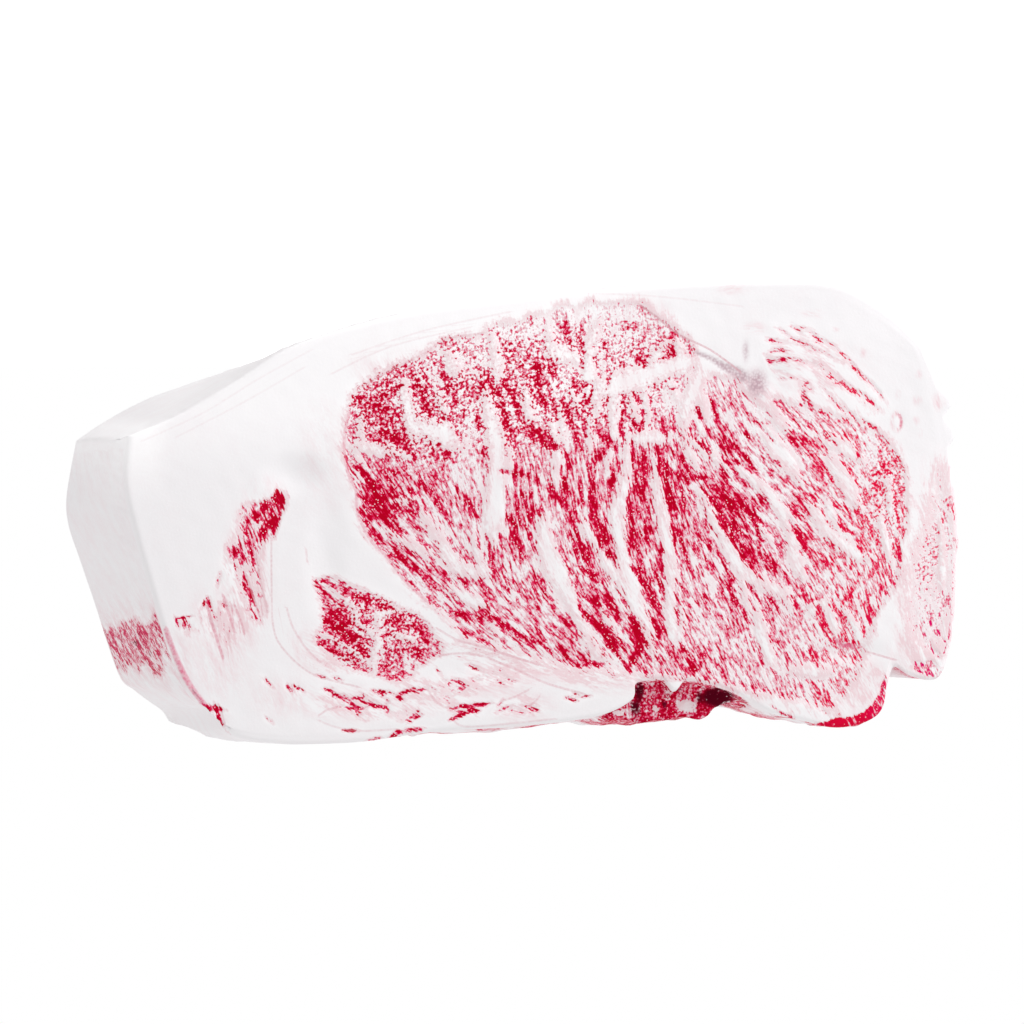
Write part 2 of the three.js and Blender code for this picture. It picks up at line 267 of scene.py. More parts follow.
LEAN_STRANDS = [
    # upper left of the eye
    ((-58, 101, 0.7), (-50, 98, 0.8)), ((-50, 102, 0.6), (-46, 104, 0.6)),
    ((-42, 108, 0.6), (-41, 105, 0.6)), ((-40, 105, 0.7), (-37, 97, 0.7)),
    ((-33, 111, 0.5), (-32, 106, 0.6), (-29, 100, 0.6), (-26, 94, 0.5)),
    ((-24, 113, 0.7), (-21, 109, 0.6)), ((-20.5, 108, 0.7), (-15.5, 101, 1.0), (-12.5, 92, 0.9)),
    ((-13, 104, 1.1), (-8, 94, 1.2), (-4, 90.5, 1.5), (-1, 88, 1.6)),
    ((-22, 94, 0.8), (-20.5, 85, 0.8)), ((-29, 93, 0.6), (-27, 89, 0.6)),
    ((-50, 91, 0.6), (-41, 84, 0.6)), ((-36.5, 84, 0.4), (-34, 87.3, 0.4), (-30, 83.3, 0.4)),
    ((-14, 79, 0.6), (-6, 77.5, 0.7)),
    ((-57, 80, 0.9), (-53, 74, 1.4), (-50, 66, 1.3), (-46, 62, 0.8)),
    ((-51, 60, 0.7), (-45, 54, 0.9), (-37, 48, 0.7)), ((-38, 76, 0.9), (-31, 65, 0.9)),
    ((-28, 74, 0.9), (-22, 66, 1.0)),
    ((-13, 71, 1.2), (-11, 60, 1.5), (-8, 53, 1.4), (-4, 46.5, 1.0), (0, 41.5, 0.8)),
    ((-19, 59, 0.6), (-17, 50, 0.7)), ((-15, 59, 0.7), (-13, 44, 0.7)),
    ((-28, 37, 0.9), (-20, 35, 0.9)), ((-20, 38, 0.7), (-8, 30, 0.7), (0, 26, 0.6)),
    # top of the eye
    ((5.5, 123.5, 0.6), (5.5, 120, 1.4), (6, 117.5, 1.0)),
    ((10, 122.5, 0.7), (9.5, 118.5, 1.1), (10.5, 114.5, 0.8), (10.3, 110.5, 0.7)),
    ((2, 123.3, 0.4), (3, 122, 0.4)),
    ((15, 116, 0.6), (17.6, 116.5, 0.8), (16.5, 113.5, 0.8), (19.5, 112.5, 0.5)),
    ((14.5, 111, 0.8), (15.5, 108.5, 0.8)),
    ((17.5, 111.5, 0.5), (18.7, 108, 0.8), (18, 104.5, 0.4)),
    ((21.5, 123.3, 0.3), (25, 122.6, 0.6), (28.5, 122, 0.5)),
    ((24, 121.3, 0.6), (31.5, 120.9, 0.6), (33.5, 121, 0.4)),
    ((29.3, 120.3, 0.7), (29.5, 118, 0.5)), ((28.3, 116, 0.8), (29, 114, 0.9)),
    ((27, 112.7, 0.7), (28.7, 111, 0.7)), ((22, 110.4, 0.5), (23.2, 110, 0.5)),
    ((36, 118.3, 0.4), (37.8, 118.4, 0.4)), ((38.3, 115, 0.6), (38, 113, 0.9), (34.5, 112, 0.3)),
    ((2.2, 111.5, 0.4), (2, 108, 0.5), (3.5, 105.5, 0.4)), ((0.5, 110, 0.8), (1, 107.5, 0.7)),
    ((6.7, 107.5, 0.6), (8, 103.5, 1.3), (11, 104.5, 0.9)), ((-3.5, 108, 1.2), (-2, 101, 1.5)),
    ((0.5, 103, 0.5), (1.5, 98, 0.5), (2.5, 95, 0.4)), ((5, 98, 0.7), (7, 93, 1.0), (9, 88, 0.9)),
    ((11, 98.5, 0.8), (12.6, 101, 0.7), (13.4, 104, 0.5)), ((12.5, 95.5, 0.6), (14.3, 94, 0.7)),
    ((17.2, 98.3, 0.7), (16.5, 96, 0.8), (17, 94.7, 0.7)),
    ((15.5, 90.3, 1.4), (17.5, 88.5, 1.5), (19, 87.4, 0.5), (22.5, 87, 0.3)),
    ((11, 93, 0.6), (11, 89, 0.5)),
    ((22.8, 99, 0.6), (22.5, 95, 0.6), (21.8, 91, 0.6), (22.6, 89, 0.7)),
    ((26.8, 100.4, 0.7), (28.2, 98.8, 0.7), (29.3, 94.5, 0.6), (28.5, 91.5, 0.8),
     (26.5, 92.7, 0.6)), ((31.2, 99.5, 0.6), (33, 95, 0.5)),
    ((33.2, 103, 0.7), (34.5, 99, 0.7), (35.3, 94, 1.2), (36, 90, 0.7)),
    ((38.5, 95.7, 0.4), (38.6, 91.5, 0.5)), ((38, 103, 0.3), (41, 103.5, 0.4), (40.5, 101.5, 0.4)),
    # fan of strands at the upper right
    ((46, 97, 0.5), (49, 90.5, 0.9), (54, 85.8, 0.9), (58, 81.5, 0.6)),
    ((50, 101, 0.6), (51.6, 95, 0.7), (53.5, 89.5, 0.7), (57, 84.5, 0.6)),
    ((44.5, 89, 0.3), (50, 83.5, 0.4)),
    ((56, 101.5, 0.5), (58, 95, 0.6), (61.5, 89, 0.6), (65.5, 84, 0.7), (70, 78.5, 0.6),
     (74, 75, 0.4)),
    ((59.2, 99.5, 0.4), (61.2, 96, 0.7), (65, 92.5, 0.8), (67.6, 89.6, 0.7), (69.5, 87.5, 0.3)),
    ((56, 90, 1.0), (57.7, 86.5, 1.3), (60, 83, 1.0), (63, 79.3, 0.8)),
    ((60, 85, 0.5), (62, 81, 0.7), (64, 78.5, 0.4)),
    ((73.5, 89, 0.8), (77.5, 86.7, 1.2), (79, 84.5, 1.2), (82, 83, 1.1), (85, 79.8, 1.3),
     (87, 77.5, 1.2), (89, 76, 0.8)),
    ((79, 101.3, 0.5), (79.5, 98.5, 0.7), (77, 97, 0.7), (78.5, 94.5, 0.5)),
    ((80, 104.2, 0.3), (81.6, 102.8, 0.3)),
    ((73, 96, 0.4), (78, 93, 0.6), (82, 91.3, 1.0), (84.7, 89.5, 0.7), (90, 86, 0.4)),
    ((79.7, 95, 0.4), (82, 92.7, 0.5)), ((81.3, 98, 0.4), (83.5, 94, 0.4), (84.8, 92, 0.6)),
    ((97, 82, 0.4), (98, 86, 0.7), (98.6, 90, 0.7), (96, 93.5, 0.4)),
    ((104.5, 87, 1.1), (107, 84, 0.7), (108.7, 81.5, 0.6)), ((104, 84.5, 0.7), (105, 80, 0.9)),
    # middle of the eye
    ((-2, 75, 1.4), (0, 73.5, 1.3), (3, 70, 1.0)),
    ((4.7, 75, 0.8), (7, 66, 1.2), (7, 60, 1.4), (10, 55, 1.6), (12, 52, 0.7)),
    ((9, 78, 0.7), (10, 71, 1.0)),
    ((13, 76, 1.4), (13.7, 70, 1.7), (14.3, 64, 1.6), (16, 58, 1.5), (18.3, 54.5, 1.3),
     (19.6, 51.7, 0.5)), ((17.3, 61, 0.8), (19, 56.5, 1.2), (20, 54, 0.6)),
    ((6.5, 48, 0.8), (7.8, 45.6, 0.6)),
    ((10, 50, 0.8), (13, 47.5, 0.8), (14.5, 43, 0.7), (15, 40, 0.6)),
    ((13.6, 39.5, 0.8), (14.3, 36, 1.3), (15.3, 34, 1.1)),
    ((9, 41, 0.7), (11, 36.5, 1.0), (13, 34.3, 1.0), (15, 32, 0.8), (18, 28.7, 0.9),
     (21, 25.3, 0.8), (23, 22.3, 0.4), (25, 20, 0.3)),
    ((17.5, 43.3, 0.6), (19.5, 40, 0.7), (21, 36, 0.9)), ((21, 43, 0.5), (24, 39.3, 0.6)),
    ((22, 36.3, 0.8), (26, 35, 0.6), (27.3, 31, 1.1), (28.6, 26.5, 1.3), (26.5, 23, 1.0)),
    ((-4, 47.5, 1.1), (-1, 42, 1.0), (1.5, 38.5, 0.7)),
    ((-3, 38, 0.7), (3, 35.3, 0.7), (7, 33, 0.6), (9, 28.5, 0.4)),
    ((0, 31.5, 0.7), (3.6, 26, 1.0), (6, 22.3, 1.1), (10, 21, 0.5)),
    ((5, 31, 0.6), (8, 27, 0.5), (12, 22, 0.6), (16, 21.3, 0.6), (18, 21.7, 0.4)),
    ((24.6, 74, 0.5), (24.3, 69, 0.8), (25, 61, 1.0), (26, 55, 1.1), (28.5, 50.5, 1.0)),
    ((27, 76.5, 0.9), (28.7, 71, 1.0), (30, 65.5, 0.9), (31, 60, 1.1), (31.5, 56.5, 0.6)),
    ((26.7, 49, 0.9), (30, 45, 1.1), (32, 41, 1.0), (33.5, 36.5, 1.2), (34, 31, 0.8)),
    ((33, 49, 0.7), (34.8, 44, 0.9), (35.5, 40.5, 0.5)),
    ((36, 30.5, 0.7), (37.5, 27, 0.8), (39, 24, 0.6)),
    ((40, 27.3, 0.5), (43, 24, 1.0), (44, 20.7, 1.3), (45.5, 18.6, 0.8), (47, 20.3, 0.4)),
    ((36.8, 77, 1.2), (37.4, 70, 1.3), (39, 64, 1.3), (39.3, 58, 0.6)),
    ((40.4, 60, 0.6), (42, 54, 1.1), (44, 49, 0.6)), ((39.5, 45, 0.5), (40, 35.5, 0.4)),
    ((41.2, 47, 0.5), (42, 44, 0.6)),
    ((47, 59, 0.6), (48, 57, 0.6), (46.3, 55, 0.6), (44, 56, 0.4)),
    ((50, 56.3, 0.6), (51.6, 53.5, 0.6)), ((53, 53, 0.5), (55, 49, 0.5)),
    ((48, 73, 0.5), (51, 69.5, 0.7), (53, 66, 0.8), (54.5, 62, 0.7)),
    ((37, 85, 0.7), (41, 82, 1.0), (43.5, 78, 0.8)),
    ((39, 78, 0.6), (43, 75.5, 1.3), (47, 76.5, 0.6)),
    ((25.3, 87, 0.5), (26.3, 82, 1.0), (27.5, 78, 0.9)),
    ((28.5, 84.5, 0.7), (30, 80, 1.1), (30, 76, 1.0)),
    ((20.5, 85, 0.8), (21.7, 81.5, 0.9), (19.5, 76.5, 1.1)), ((34, 84.5, 0.7), (35.5, 79, 0.9)),
    ((16, 84, 1.3), (14, 82, 1.0), (11.7, 79, 0.7)), ((4, 86, 0.8), (5.5, 82, 1.0)),
    # darkest band, right of the middle
    ((54, 77, 1.2), (55.3, 71, 1.8), (57.5, 65.5, 2.3), (58.5, 60, 1.6)),
    ((58.5, 57, 1.0), (61, 54, 2.0), (64.5, 51.8, 2.5), (68, 50.7, 2.0), (71, 49.2, 1.5),
     (74, 46.7, 0.9), (77, 43, 0.7)), ((57, 72.5, 0.8), (60, 69, 1.1), (63, 65.5, 0.9)),
    ((62, 60, 0.6), (64, 56, 1.1), (68, 52.3, 1.4), (71, 49.5, 0.9)),
    ((66, 70.3, 0.6), (68.3, 67.3, 0.9), (71.5, 64.7, 0.4)),
    ((65, 64.5, 0.7), (68, 61.5, 0.8), (71, 58, 0.9), (73, 53, 0.6)),
    ((65, 60.5, 0.5), (66, 57.5, 0.7)),
    ((78, 44, 0.8), (77, 40.5, 1.0), (78.3, 37, 1.1), (79, 35, 0.5)),
    ((79, 44, 0.6), (80.2, 41, 0.8), (81, 38.7, 0.7), (83.5, 39.3, 0.5)),
    ((62.5, 44, 0.5), (64.5, 41, 1.0), (67.3, 38.3, 0.9)),
    ((60.5, 37, 0.4), (61.7, 34.5, 0.9), (64, 32, 0.4)),
    ((69.3, 39.7, 0.6), (71.7, 37.3, 0.8), (73.5, 35, 0.5)),
    ((54.5, 51, 0.8), (56.5, 45, 1.4), (58, 40.5, 1.0)),
    ((54.5, 42, 0.5), (56, 37.5, 0.6), (57.3, 33, 0.4)),
    ((75.5, 63, 0.5), (78.7, 58, 0.9), (80.2, 55.6, 0.7)), ((79.3, 53.6, 0.7), (81, 52, 0.6)),
    ((86.3, 52, 0.7), (87.7, 49.3, 1.0), (89, 46.5, 0.5)), ((80.8, 49, 0.6), (82.8, 46, 1.1)),
    ((81, 44, 0.6), (82.5, 42, 0.7), (84, 40.5, 0.7)),
    ((79.5, 75.5, 0.6), (83, 71, 1.1), (86, 67.5, 0.9)),
    ((76.3, 73.5, 0.7), (78, 70, 0.9), (80.3, 66, 0.6), (82, 63.5, 0.3)),
    ((69.5, 74, 0.4), (72, 70, 0.4), (76, 66.2, 0.6), (79, 64, 0.3)),
    ((86, 65.5, 0.4), (89, 61, 0.4), (92, 58, 0.4), (95, 56, 0.3)),
    ((90, 68.6, 0.4), (92.7, 66.8, 0.8), (94.3, 65.4, 0.3)),
    ((91.5, 62.5, 0.5), (93, 60, 1.1), (95, 59.6, 0.6)),
    ((96.5, 65.3, 0.6), (99, 63, 0.9), (101, 61, 0.5)), ((97, 55, 0.4), (99, 53, 0.5)),
    ((103, 73, 0.6), (104.6, 71.3, 0.6)), ((106, 62, 0.5), (107.6, 58, 0.8), (109.3, 55, 1.0)),
    ((110.5, 59.5, 0.7), (110, 56, 0.7)), ((109, 70, 0.5), (110, 63.5, 0.5)),
    ((98.5, 49.5, 0.4), (100, 46, 0.6), (100.7, 43, 0.9)),
    ((99, 40.5, 0.6), (99.7, 36, 0.6), (100.8, 31.5, 0.6), (103, 35, 0.6), (100.5, 38, 0.5)),
    ((85.3, 34.7, 1.0), (86.6, 31, 1.1), (87.3, 28, 0.8), (88.7, 26, 0.5)),
    ((87.3, 36, 0.4), (89, 36, 0.4)), ((90.5, 34, 0.5), (92, 31, 0.9), (93.5, 27.3, 0.7)),
    ((88.5, 29.3, 0.3), (92, 27, 0.6), (95.5, 26, 0.5)), ((82.5, 22.6, 0.5), (84, 20.8, 0.6)),
    ((93, 33.3, 0.4), (96.3, 29, 0.4)), ((98.8, 31, 0.4), (99, 27.5, 0.4)),
    ((71.5, 27, 0.4), (75, 26, 0.4), (75, 21, 0.4)), ((70.5, 18, 0.4), (72.5, 15, 0.5)),
    ((60, 14.6, 0.4), (63, 13.6, 0.4)), ((66.5, 21.4, 0.5), (67.2, 20.6, 0.4)),
    ((95, 41.5, 0.8), (93, 39, 0.6)),
    # long strands in the fat at the rib side of the cap
    ((76, 121.6, 0.3), (78.2, 119.6, 0.3)), ((77.8, 121.4, 0.2), (79.2, 121, 0.2)),
    ((72.3, 120.4, 0.3), (76, 117.7, 0.2), (82, 114.7, 0.4), (87, 112.6, 0.1), (92, 110.4, 0.1)),
    ((69.2, 117.3, 0.3), (75, 116.2, 0.1)), ((69.5, 114, 0.4), (71, 114.6, 0.4), (74, 114, 0.1)),
    ((67.7, 112.3, 0.3), (69, 110.7, 0.7), (73, 111.6, 0.4), (77, 111.5, 0.3), (80, 110.4, 0.3),
     (82.7, 110, 0.6), (84.7, 109, 0.3), (88, 106, 0.4), (92, 103.8, 0.6), (95, 101.8, 0.6),
     (97, 101, 0.4)),
    ((85, 110.3, 0.1), (89, 106.8, 0.3), (93, 104, 0.3), (98, 101, 0.6), (100, 99.5, 0.5),
     (103, 97, 0.1)),
    ((82.3, 119.2, 0.3), (83.6, 117.6, 0.6), (87.5, 116.3, 0.3), (91, 113.8, 0.1),
     (95, 109.8, 0.2), (97.5, 106.7, 0.3)),
    ((99.3, 106, 0.3), (102, 103.4, 0.6), (103.6, 101.7, 0.6), (105, 99.5, 0.1)),
    ((94, 111, 0.2), (95.5, 109.3, 0.2)), ((71, 108.2, 0.2), (74, 107.4, 0.1)),
    ((72, 106, 0.1), (78, 106.2, 0.1)),
    ((86, 102.3, 0.1), (88.4, 99.4, 0.4), (91.3, 96.8, 0.5), (94.5, 95, 0.7)),
    ((90, 100, 0.2), (93, 97.3, 0.2)), ((92, 93.7, 0.1), (96, 90.5, 0.3)),
    ((98.3, 93.2, 0.2), (100.5, 92, 0.5), (102.4, 90.6, 0.4)),
    # the side muscle
    ((-70.3, 47.6, 0.5), (-68.3, 44.8, 0.6)), ((-68.5, 42, 0.6), (-66, 38.5, 0.8), (-63, 35, 0.6)),
    ((-61.5, 45, 0.5), (-56, 42, 0.7), (-50, 40.2, 0.4), (-46.5, 38.7, 0.3)),
    ((-67.5, 36, 0.6), (-62, 32.5, 1.4), (-58.5, 30.2, 1.5), (-56.6, 27.4, 1.0)),
    ((-69.5, 29.5, 0.4), (-64, 26.4, 0.5), (-59, 23.2, 0.6), (-55, 20.8, 0.3)),
    ((-50, 35.4, 0.4), (-45, 35.6, 0.6), (-40, 33.5, 0.5), (-37.3, 29.5, 0.6), (-39.5, 25.2, 0.5)),
    ((-50, 31, 0.5), (-49.5, 26, 0.6), (-49, 22.8, 0.5)), ((-47, 27, 0.4), (-41, 26.6, 0.6)),
    ((-45, 24.6, 0.5), (-44.6, 21.5, 0.5)),
    # flank
    ((-88.2, 67.5, 0.92), (-86.5, 68.5, 1.02), (-84.8, 70.5, 0.92)),
    ((-81.9, 72.5, 0.62), (-81.6, 71, 0.52)),
    ((-81.3, 70, 0.72), (-82, 66.5, 0.92), (-84.3, 64.2, 0.92), (-85.6, 63, 0.62)),
    ((-91.3, 62.8, 0.62), (-90.6, 60.8, 0.72), (-90, 56.5, 0.52), (-89.6, 54, 0.42)),
    ((-96, 57.2, 0.42), (-95.4, 55.2, 0.52)), ((-94.7, 57.6, 0.42), (-94.2, 55.6, 0.52)),
    ((-93, 57.8, 0.32), (-92.3, 55, 0.52), (-91.8, 53.8, 0.42)),
    ((-93.3, 54, 0.42), (-92.7, 52.8, 0.42)), ((-93.6, 60.2, 0.32), (-93.3, 59, 0.32)),
    ((-94.8, 52.5, 0.32), (-92.8, 46, 0.32)),
    ((-92.4, 49.4, 0.42), (-92, 47.2, 0.82), (-90.7, 44.6, 0.52), (-89.8, 42.4, 0.32)),
    ((-104.2, 41.4, 0.42), (-103.4, 42.8, 0.42)),
    ((-102.5, 42, 0.52), (-102.6, 40.4, 0.52), (-101.4, 38.6, 0.42)),
    ((-102.8, 37.4, 0.32), (-102.2, 36, 0.42), (-101.5, 34.9, 0.42)),
    ((-110.8, 37.8, 0.2), (-107.9, 38.3, 0.2)), ((-112, 36.6, 0.35), (-111.8, 36, 0.3)),
    ((-110, 35.6, 0.2), (-109.4, 34, 0.2)), ((-97.4, 40.9, 0.52), (-97, 40.6, 0.42)),
    ((-99.3, 50, 0.32), (-99.6, 48.6, 0.42)), ((-108.7, 36.2, 0.32), (-108.3, 35.6, 0.32)),
    # strands in the layer under the eye
    ((-67.6, 16, 0.32), (-66.2, 15.5, 0.62), (-65.6, 14.2, 0.42), (-63.5, 13.7, 0.62),
     (-61, 12.7, 0.82), (-60, 11.5, 0.92), (-59.2, 10.4, 0.62)),
    ((-60.4, 13.1, 0.32), (-57.6, 13.3, 0.47)),
    ((-62.6, 10.8, 0.32), (-59.5, 10.2, 0.52), (-56.8, 10.3, 0.52)),
    ((-56.3, 12, 0.42), (-54.5, 11.5, 0.62), (-53, 10.8, 0.62), (-50.8, 10.4, 0.42)),
    ((-49.4, 11.6, 0.32), (-49.6, 10, 0.42), (-49.2, 9.3, 0.32)),
    ((-52.6, 15, 0.32), (-51.2, 14.3, 0.42)), ((-50.3, 15, 0.32), (-48.7, 14.6, 0.32)),
    ((-45, 14.2, 0.37), (-44.4, 14.4, 0.42)), ((-46, 12.9, 0.27), (-45.4, 12.7, 0.32)),
    ((-41, 15.2, 0.27), (-39.5, 15, 0.37), (-37.6, 15.5, 0.42), (-36.5, 15.4, 0.37),
     (-35.5, 14.8, 0.27)), ((-42.2, 7, 0.32), (-41.5, 7.3, 0.42), (-41, 7.8, 0.32)),
    ((-41.3, 6.7, 0.32), (-40.1, 7.3, 0.32)), ((-33.6, 20.2, 0.24), (-33, 19.2, 0.24)),
    ((-31.7, 17.6, 0.32), (-30.9, 17.4, 0.32)),
    ((-28.8, 17.7, 0.32), (-27.5, 17.4, 0.42), (-26.8, 16.4, 0.47)),
    ((-28.7, 9.5, 0.27), (-27.2, 9.6, 0.27)),
    ((-25.8, 10.1, 0.42), (-23.5, 9.9, 0.57), (-20.5, 10.2, 0.57), (-19, 10.5, 0.32)),
    ((-24, 9.3, 0.42), (-23.5, 8.8, 0.42)),
    ((-26.8, 8.4, 0.27), (-25, 8.3, 0.42), (-23, 8.5, 0.37)),
    ((-29, 6.5, 0.24), (-27.5, 7.1, 0.27), (-25.6, 8, 0.32)),
    ((-23.8, 21.7, 0.37), (-23, 21.3, 0.37), (-21.2, 20.3, 0.27)),
    ((-22.4, 17.8, 0.32), (-21.8, 17.7, 0.32)), ((-19.7, 18.8, 0.32), (-18.9, 18.2, 0.32)),
    ((-17, 19, 0.32), (-16.2, 18.8, 0.32)), ((-15.6, 16.9, 0.27), (-15.2, 16.7, 0.27)),
    ((-14.2, 18.5, 0.32), (-13.2, 17.8, 0.42), (-12.3, 17.4, 0.37)),
    ((-15, 8.4, 0.32), (-14, 8.9, 0.32)), ((-13, 9.3, 0.27), (-12.2, 9.5, 0.32)),
    ((-11, 8.4, 0.32), (-10, 8.8, 0.37)), ((-7, 9.4, 0.24), (-6.6, 9.3, 0.24)),
    ((-5.4, 8.2, 0.32), (-4.6, 8.2, 0.32)), ((-5, 9.1, 0.24), (-4.2, 8.8, 0.27)),
    ((-15.2, 10.3, 0.24), (-14.8, 10.8, 0.24)), ((-9, 8, 0.24), (-8.3, 7.9, 0.24)),
    ((6.6, 11.4, 0.37), (7.2, 11.2, 0.32)), ((8.1, 12.9, 0.27), (8.9, 12.3, 0.32)),
    ((10.3, 11.7, 0.27), (11.5, 12, 0.47), (12.4, 12, 0.27)),
    ((-61.7, 3.8, 0.12), (-60.2, 3.7, 0.2)), ((-46, 2.9, 0.32), (-43, 3.3, 0.52), (-40, 3.6, 0.42)),
    ((-48, 1.4, 0.32), (-47, 1.9, 0.32)), ((-53.8, 0.7, 0.32), (-52.6, 1, 0.32)),
    ((-69.2, 19.9, 0.27), (-68.8, 19.8, 0.32)), ((-64.4, 19, 0.42), (-63.8, 18.7, 0.32)),
    ((-85.5, 19, 0.32), (-84.9, 18.4, 0.32)), ((-79.1, 17.2, 0.32), (-78.8, 16.8, 0.32)),
    ((-76.5, 16.9, 0.32), (-75.8, 16.5, 0.37)), ((-85.1, 7.9, 0.15), (-84.8, 7.6, 0.2)),
    # trimmed corner, lower edge and lobes
    ((-105.4, 12.4, 0.3), (-102.6, 11.6, 0.9), (-100.4, 11.2, 0.6)),
    ((-100.2, 10.6, 0.6), (-99.4, 8, 0.7)),
    ((-104, 9.5, 0.4), (-101.6, 7.2, 1.4), (-99.6, 5, 0.9), (-97, 3.4, 0.3)),
    ((70.5, 7, 0.2), (72.5, 5.6, 0.4), (75.5, 4, 0.2)), ((85.3, 6.2, 0.3), (87, 5, 0.3)),
    ((86, 1.4, 0.5), (90, 1.6, 1.3), (97, 1.8, 1.8), (101.5, 3.8, 1.8), (104.2, 6.2, 1.6),
     (105.4, 9.8, 1.4), (105.8, 13.5, 0.6)), ((99, 4.2, 0.3), (102.5, 6.5, 0.6), (104, 9.5, 0.4)),
    ((118.2, 18.4, 1.0), (120.6, 17.6, 2.5), (122.8, 16.6, 2.0)),
    ((116.3, 17.4, 0.5), (117, 17, 0.4)),
    ((118.5, 25.5, 0.3), (120.5, 24.4, 0.6), (122.8, 22, 0.6)),
    ((120.8, 34.6, 0.3), (122.5, 34.8, 0.6), (123.6, 34, 0.4)),
    ((120.3, 32, 0.3), (123.5, 28.5, 0.5), (126, 25, 0.4)),
    ((125.6, 41.5, 0.3), (127, 37.5, 0.6), (127.6, 34, 0.4)),
    ((127, 30, 0.3), (126.6, 26, 0.4), (125.4, 22.5, 0.3)),
]

# Where the lean is richer or paler than the rest: x, z, radii and by how much.
RICHNESS = [
    # redder
    (59, 64, 9, 11, 0.6), (-54, 97, 9, 14, 0.4), (-50, 71, 13, 14, 0.8), (-48, 88, 8, 7, 0.55),
    (-58, 104, 8, 8, 0.15), (-6, 67, 7, 11, 0.6), (-8, 104, 8, 8, 0.15), (14, 56, 8, 10, 0.16),
    (41, 72, 7, 10, 0.4), (41, 56, 6, 8, 0.25), (-62, 35, 12, 13, 0.38), (-43, 33, 11, 7, 0.3),
    (27, 62, 7, 24, 0.35), (27, 29, 13, 12, 0.45), (45, 22, 8, 8, 0.1), (59, 80, 8, 8, 0.25),
    (3, 30, 10, 10, 0.1), (17, 38, 7, 14, 0.1), (-30, 44, 12, 10, 0.2), (50, 72, 7, 8, 0.3),
    (2, 80, 6, 7, 0.4), (18, 48, 6, 6, 0.25), (18, 24, 6, 6, 0.25), (96, 2, 15, 6, 0.5),
    (-92, 58, 5, 9, 0.4), (126, 66, 5, 6, 0.2), (119, 52, 4, 8, 0.1),
    # paler, from the top down
    (14, 124, 44, 12, -0.5), (10, 128, 30, 6, -0.4), (-18, 120, 22, 7, -0.55),
    (26, 119, 16, 10, -0.4), (-34, 112, 16, 7, -0.35), (-22, 113, 10, 8, -0.7),
    (14, 110, 18, 10, -0.7), (3, 106, 8, 8, -0.6), (34, 100, 12, 14, -0.7), (48, 104, 14, 9, -0.55),
    (58, 93, 10, 10, -0.5), (66, 96, 14, 10, -0.45), (26, 106, 10, 10, -0.3),
    (60, 104, 10, 6, -0.3), (86, 94, 18, 9, -0.4), (102, 86, 10, 9, -0.85), (-6, 96, 8, 7, -0.4),
    (14, 94, 12, 9, -0.5), (-24, 92, 10, 12, -0.5), (46, 89, 10, 9, -0.1), (18, 82, 10, 9, -0.3),
    (-25, 79, 9, 9, -0.6), (50, 80, 6, 6, -0.3), (66, 84, 7, 12, -0.8), (92, 78, 22, 16, -0.2),
    (-14, 72, 5, 9, -0.8), (82, 79, 10, 9, -0.1), (10, 72, 5, 7, -0.15), (72, 66, 7, 16, -0.9),
    (-34, 64, 10, 9, -0.3), (-22, 64, 9, 9, -0.5), (2, 64, 7, 9, -0.5), (98, 60, 16, 18, -0.05),
    (107, 58, 6, 12, -0.1), (68, 54, 9, 10, -0.25), (57, 49, 7, 8, -0.3), (-6, 50, 7, 9, -0.6),
    (42, 50, 6, 10, -0.3), (79, 46, 10, 8, -0.5), (94, 46, 16, 10, -0.3), (66, 40, 7, 6, -0.4),
    (84, 38, 12, 10, -0.35), (2, 40, 7, 8, -0.5), (50, 31, 8, 7, -0.5), (-54, 30, 9, 8, -0.15),
    (-47, 24, 9, 6, -0.1), (84, 26, 26, 18, -0.15), (70, 18, 14, 9, -0.55), (88, 17, 12, 7, -0.4),
    (28, 17, 6, 5, -0.5),
]

# Where the lean is granular instead of drawn out in streaks: x, z, radii and how much.
GRANULAR = [
    (121, 50, 10, 28, 0.6), (-38, 106, 44, 34, 1.3), (-6, 104, 26, 28, 1.0), (22, 108, 34, 28, 0.9),
    (-52, 33, 26, 22, 0.9), (106, 72, 12, 24, 0.5),
]

# Fat with fine streaks of lean in it: x, z, radii and how much.
STREAKED = [
    (-92, 52, 10, 20, 1.9), (-93, 58, 5, 9, 1.3), (-99, 36, 14, 12, 1.6), (-60, 12, 20, 6, 1.8),
    (-44, 8, 8, 4, 2.6), (-54, 8, 8, 4, 1.2), (-34, 14, 20, 8, 1.9), (-16, 19, 13, 5, 2.7),
    (-9, 9.5, 11, 5, 2.6), (-28, 16, 6, 4, 2.4), (12, 17, 14, 5, 2.0), (84, 109, 20, 12, 1.6),
    (99, 97, 10, 8, 1.5), (109, 66, 6, 24, 2.1), (119, 24, 10, 12, 1.8), (103, 12, 9, 10, 1.6),
    (-66, 30, 9, 16, 1.6), (-46, 20, 8, 5, 2.2), (34, 124, 12, 5, 1.5), (-18, 27, 26, 8, 1.9),
    (2, 22, 16, 5, 2.3), (24, 19, 12, 5, 2.0), (-31, 12.5, 5, 3, 1.9), (62, 17, 22, 6, 2.0),
    (85, 8, 18, 8, 1.9),
]

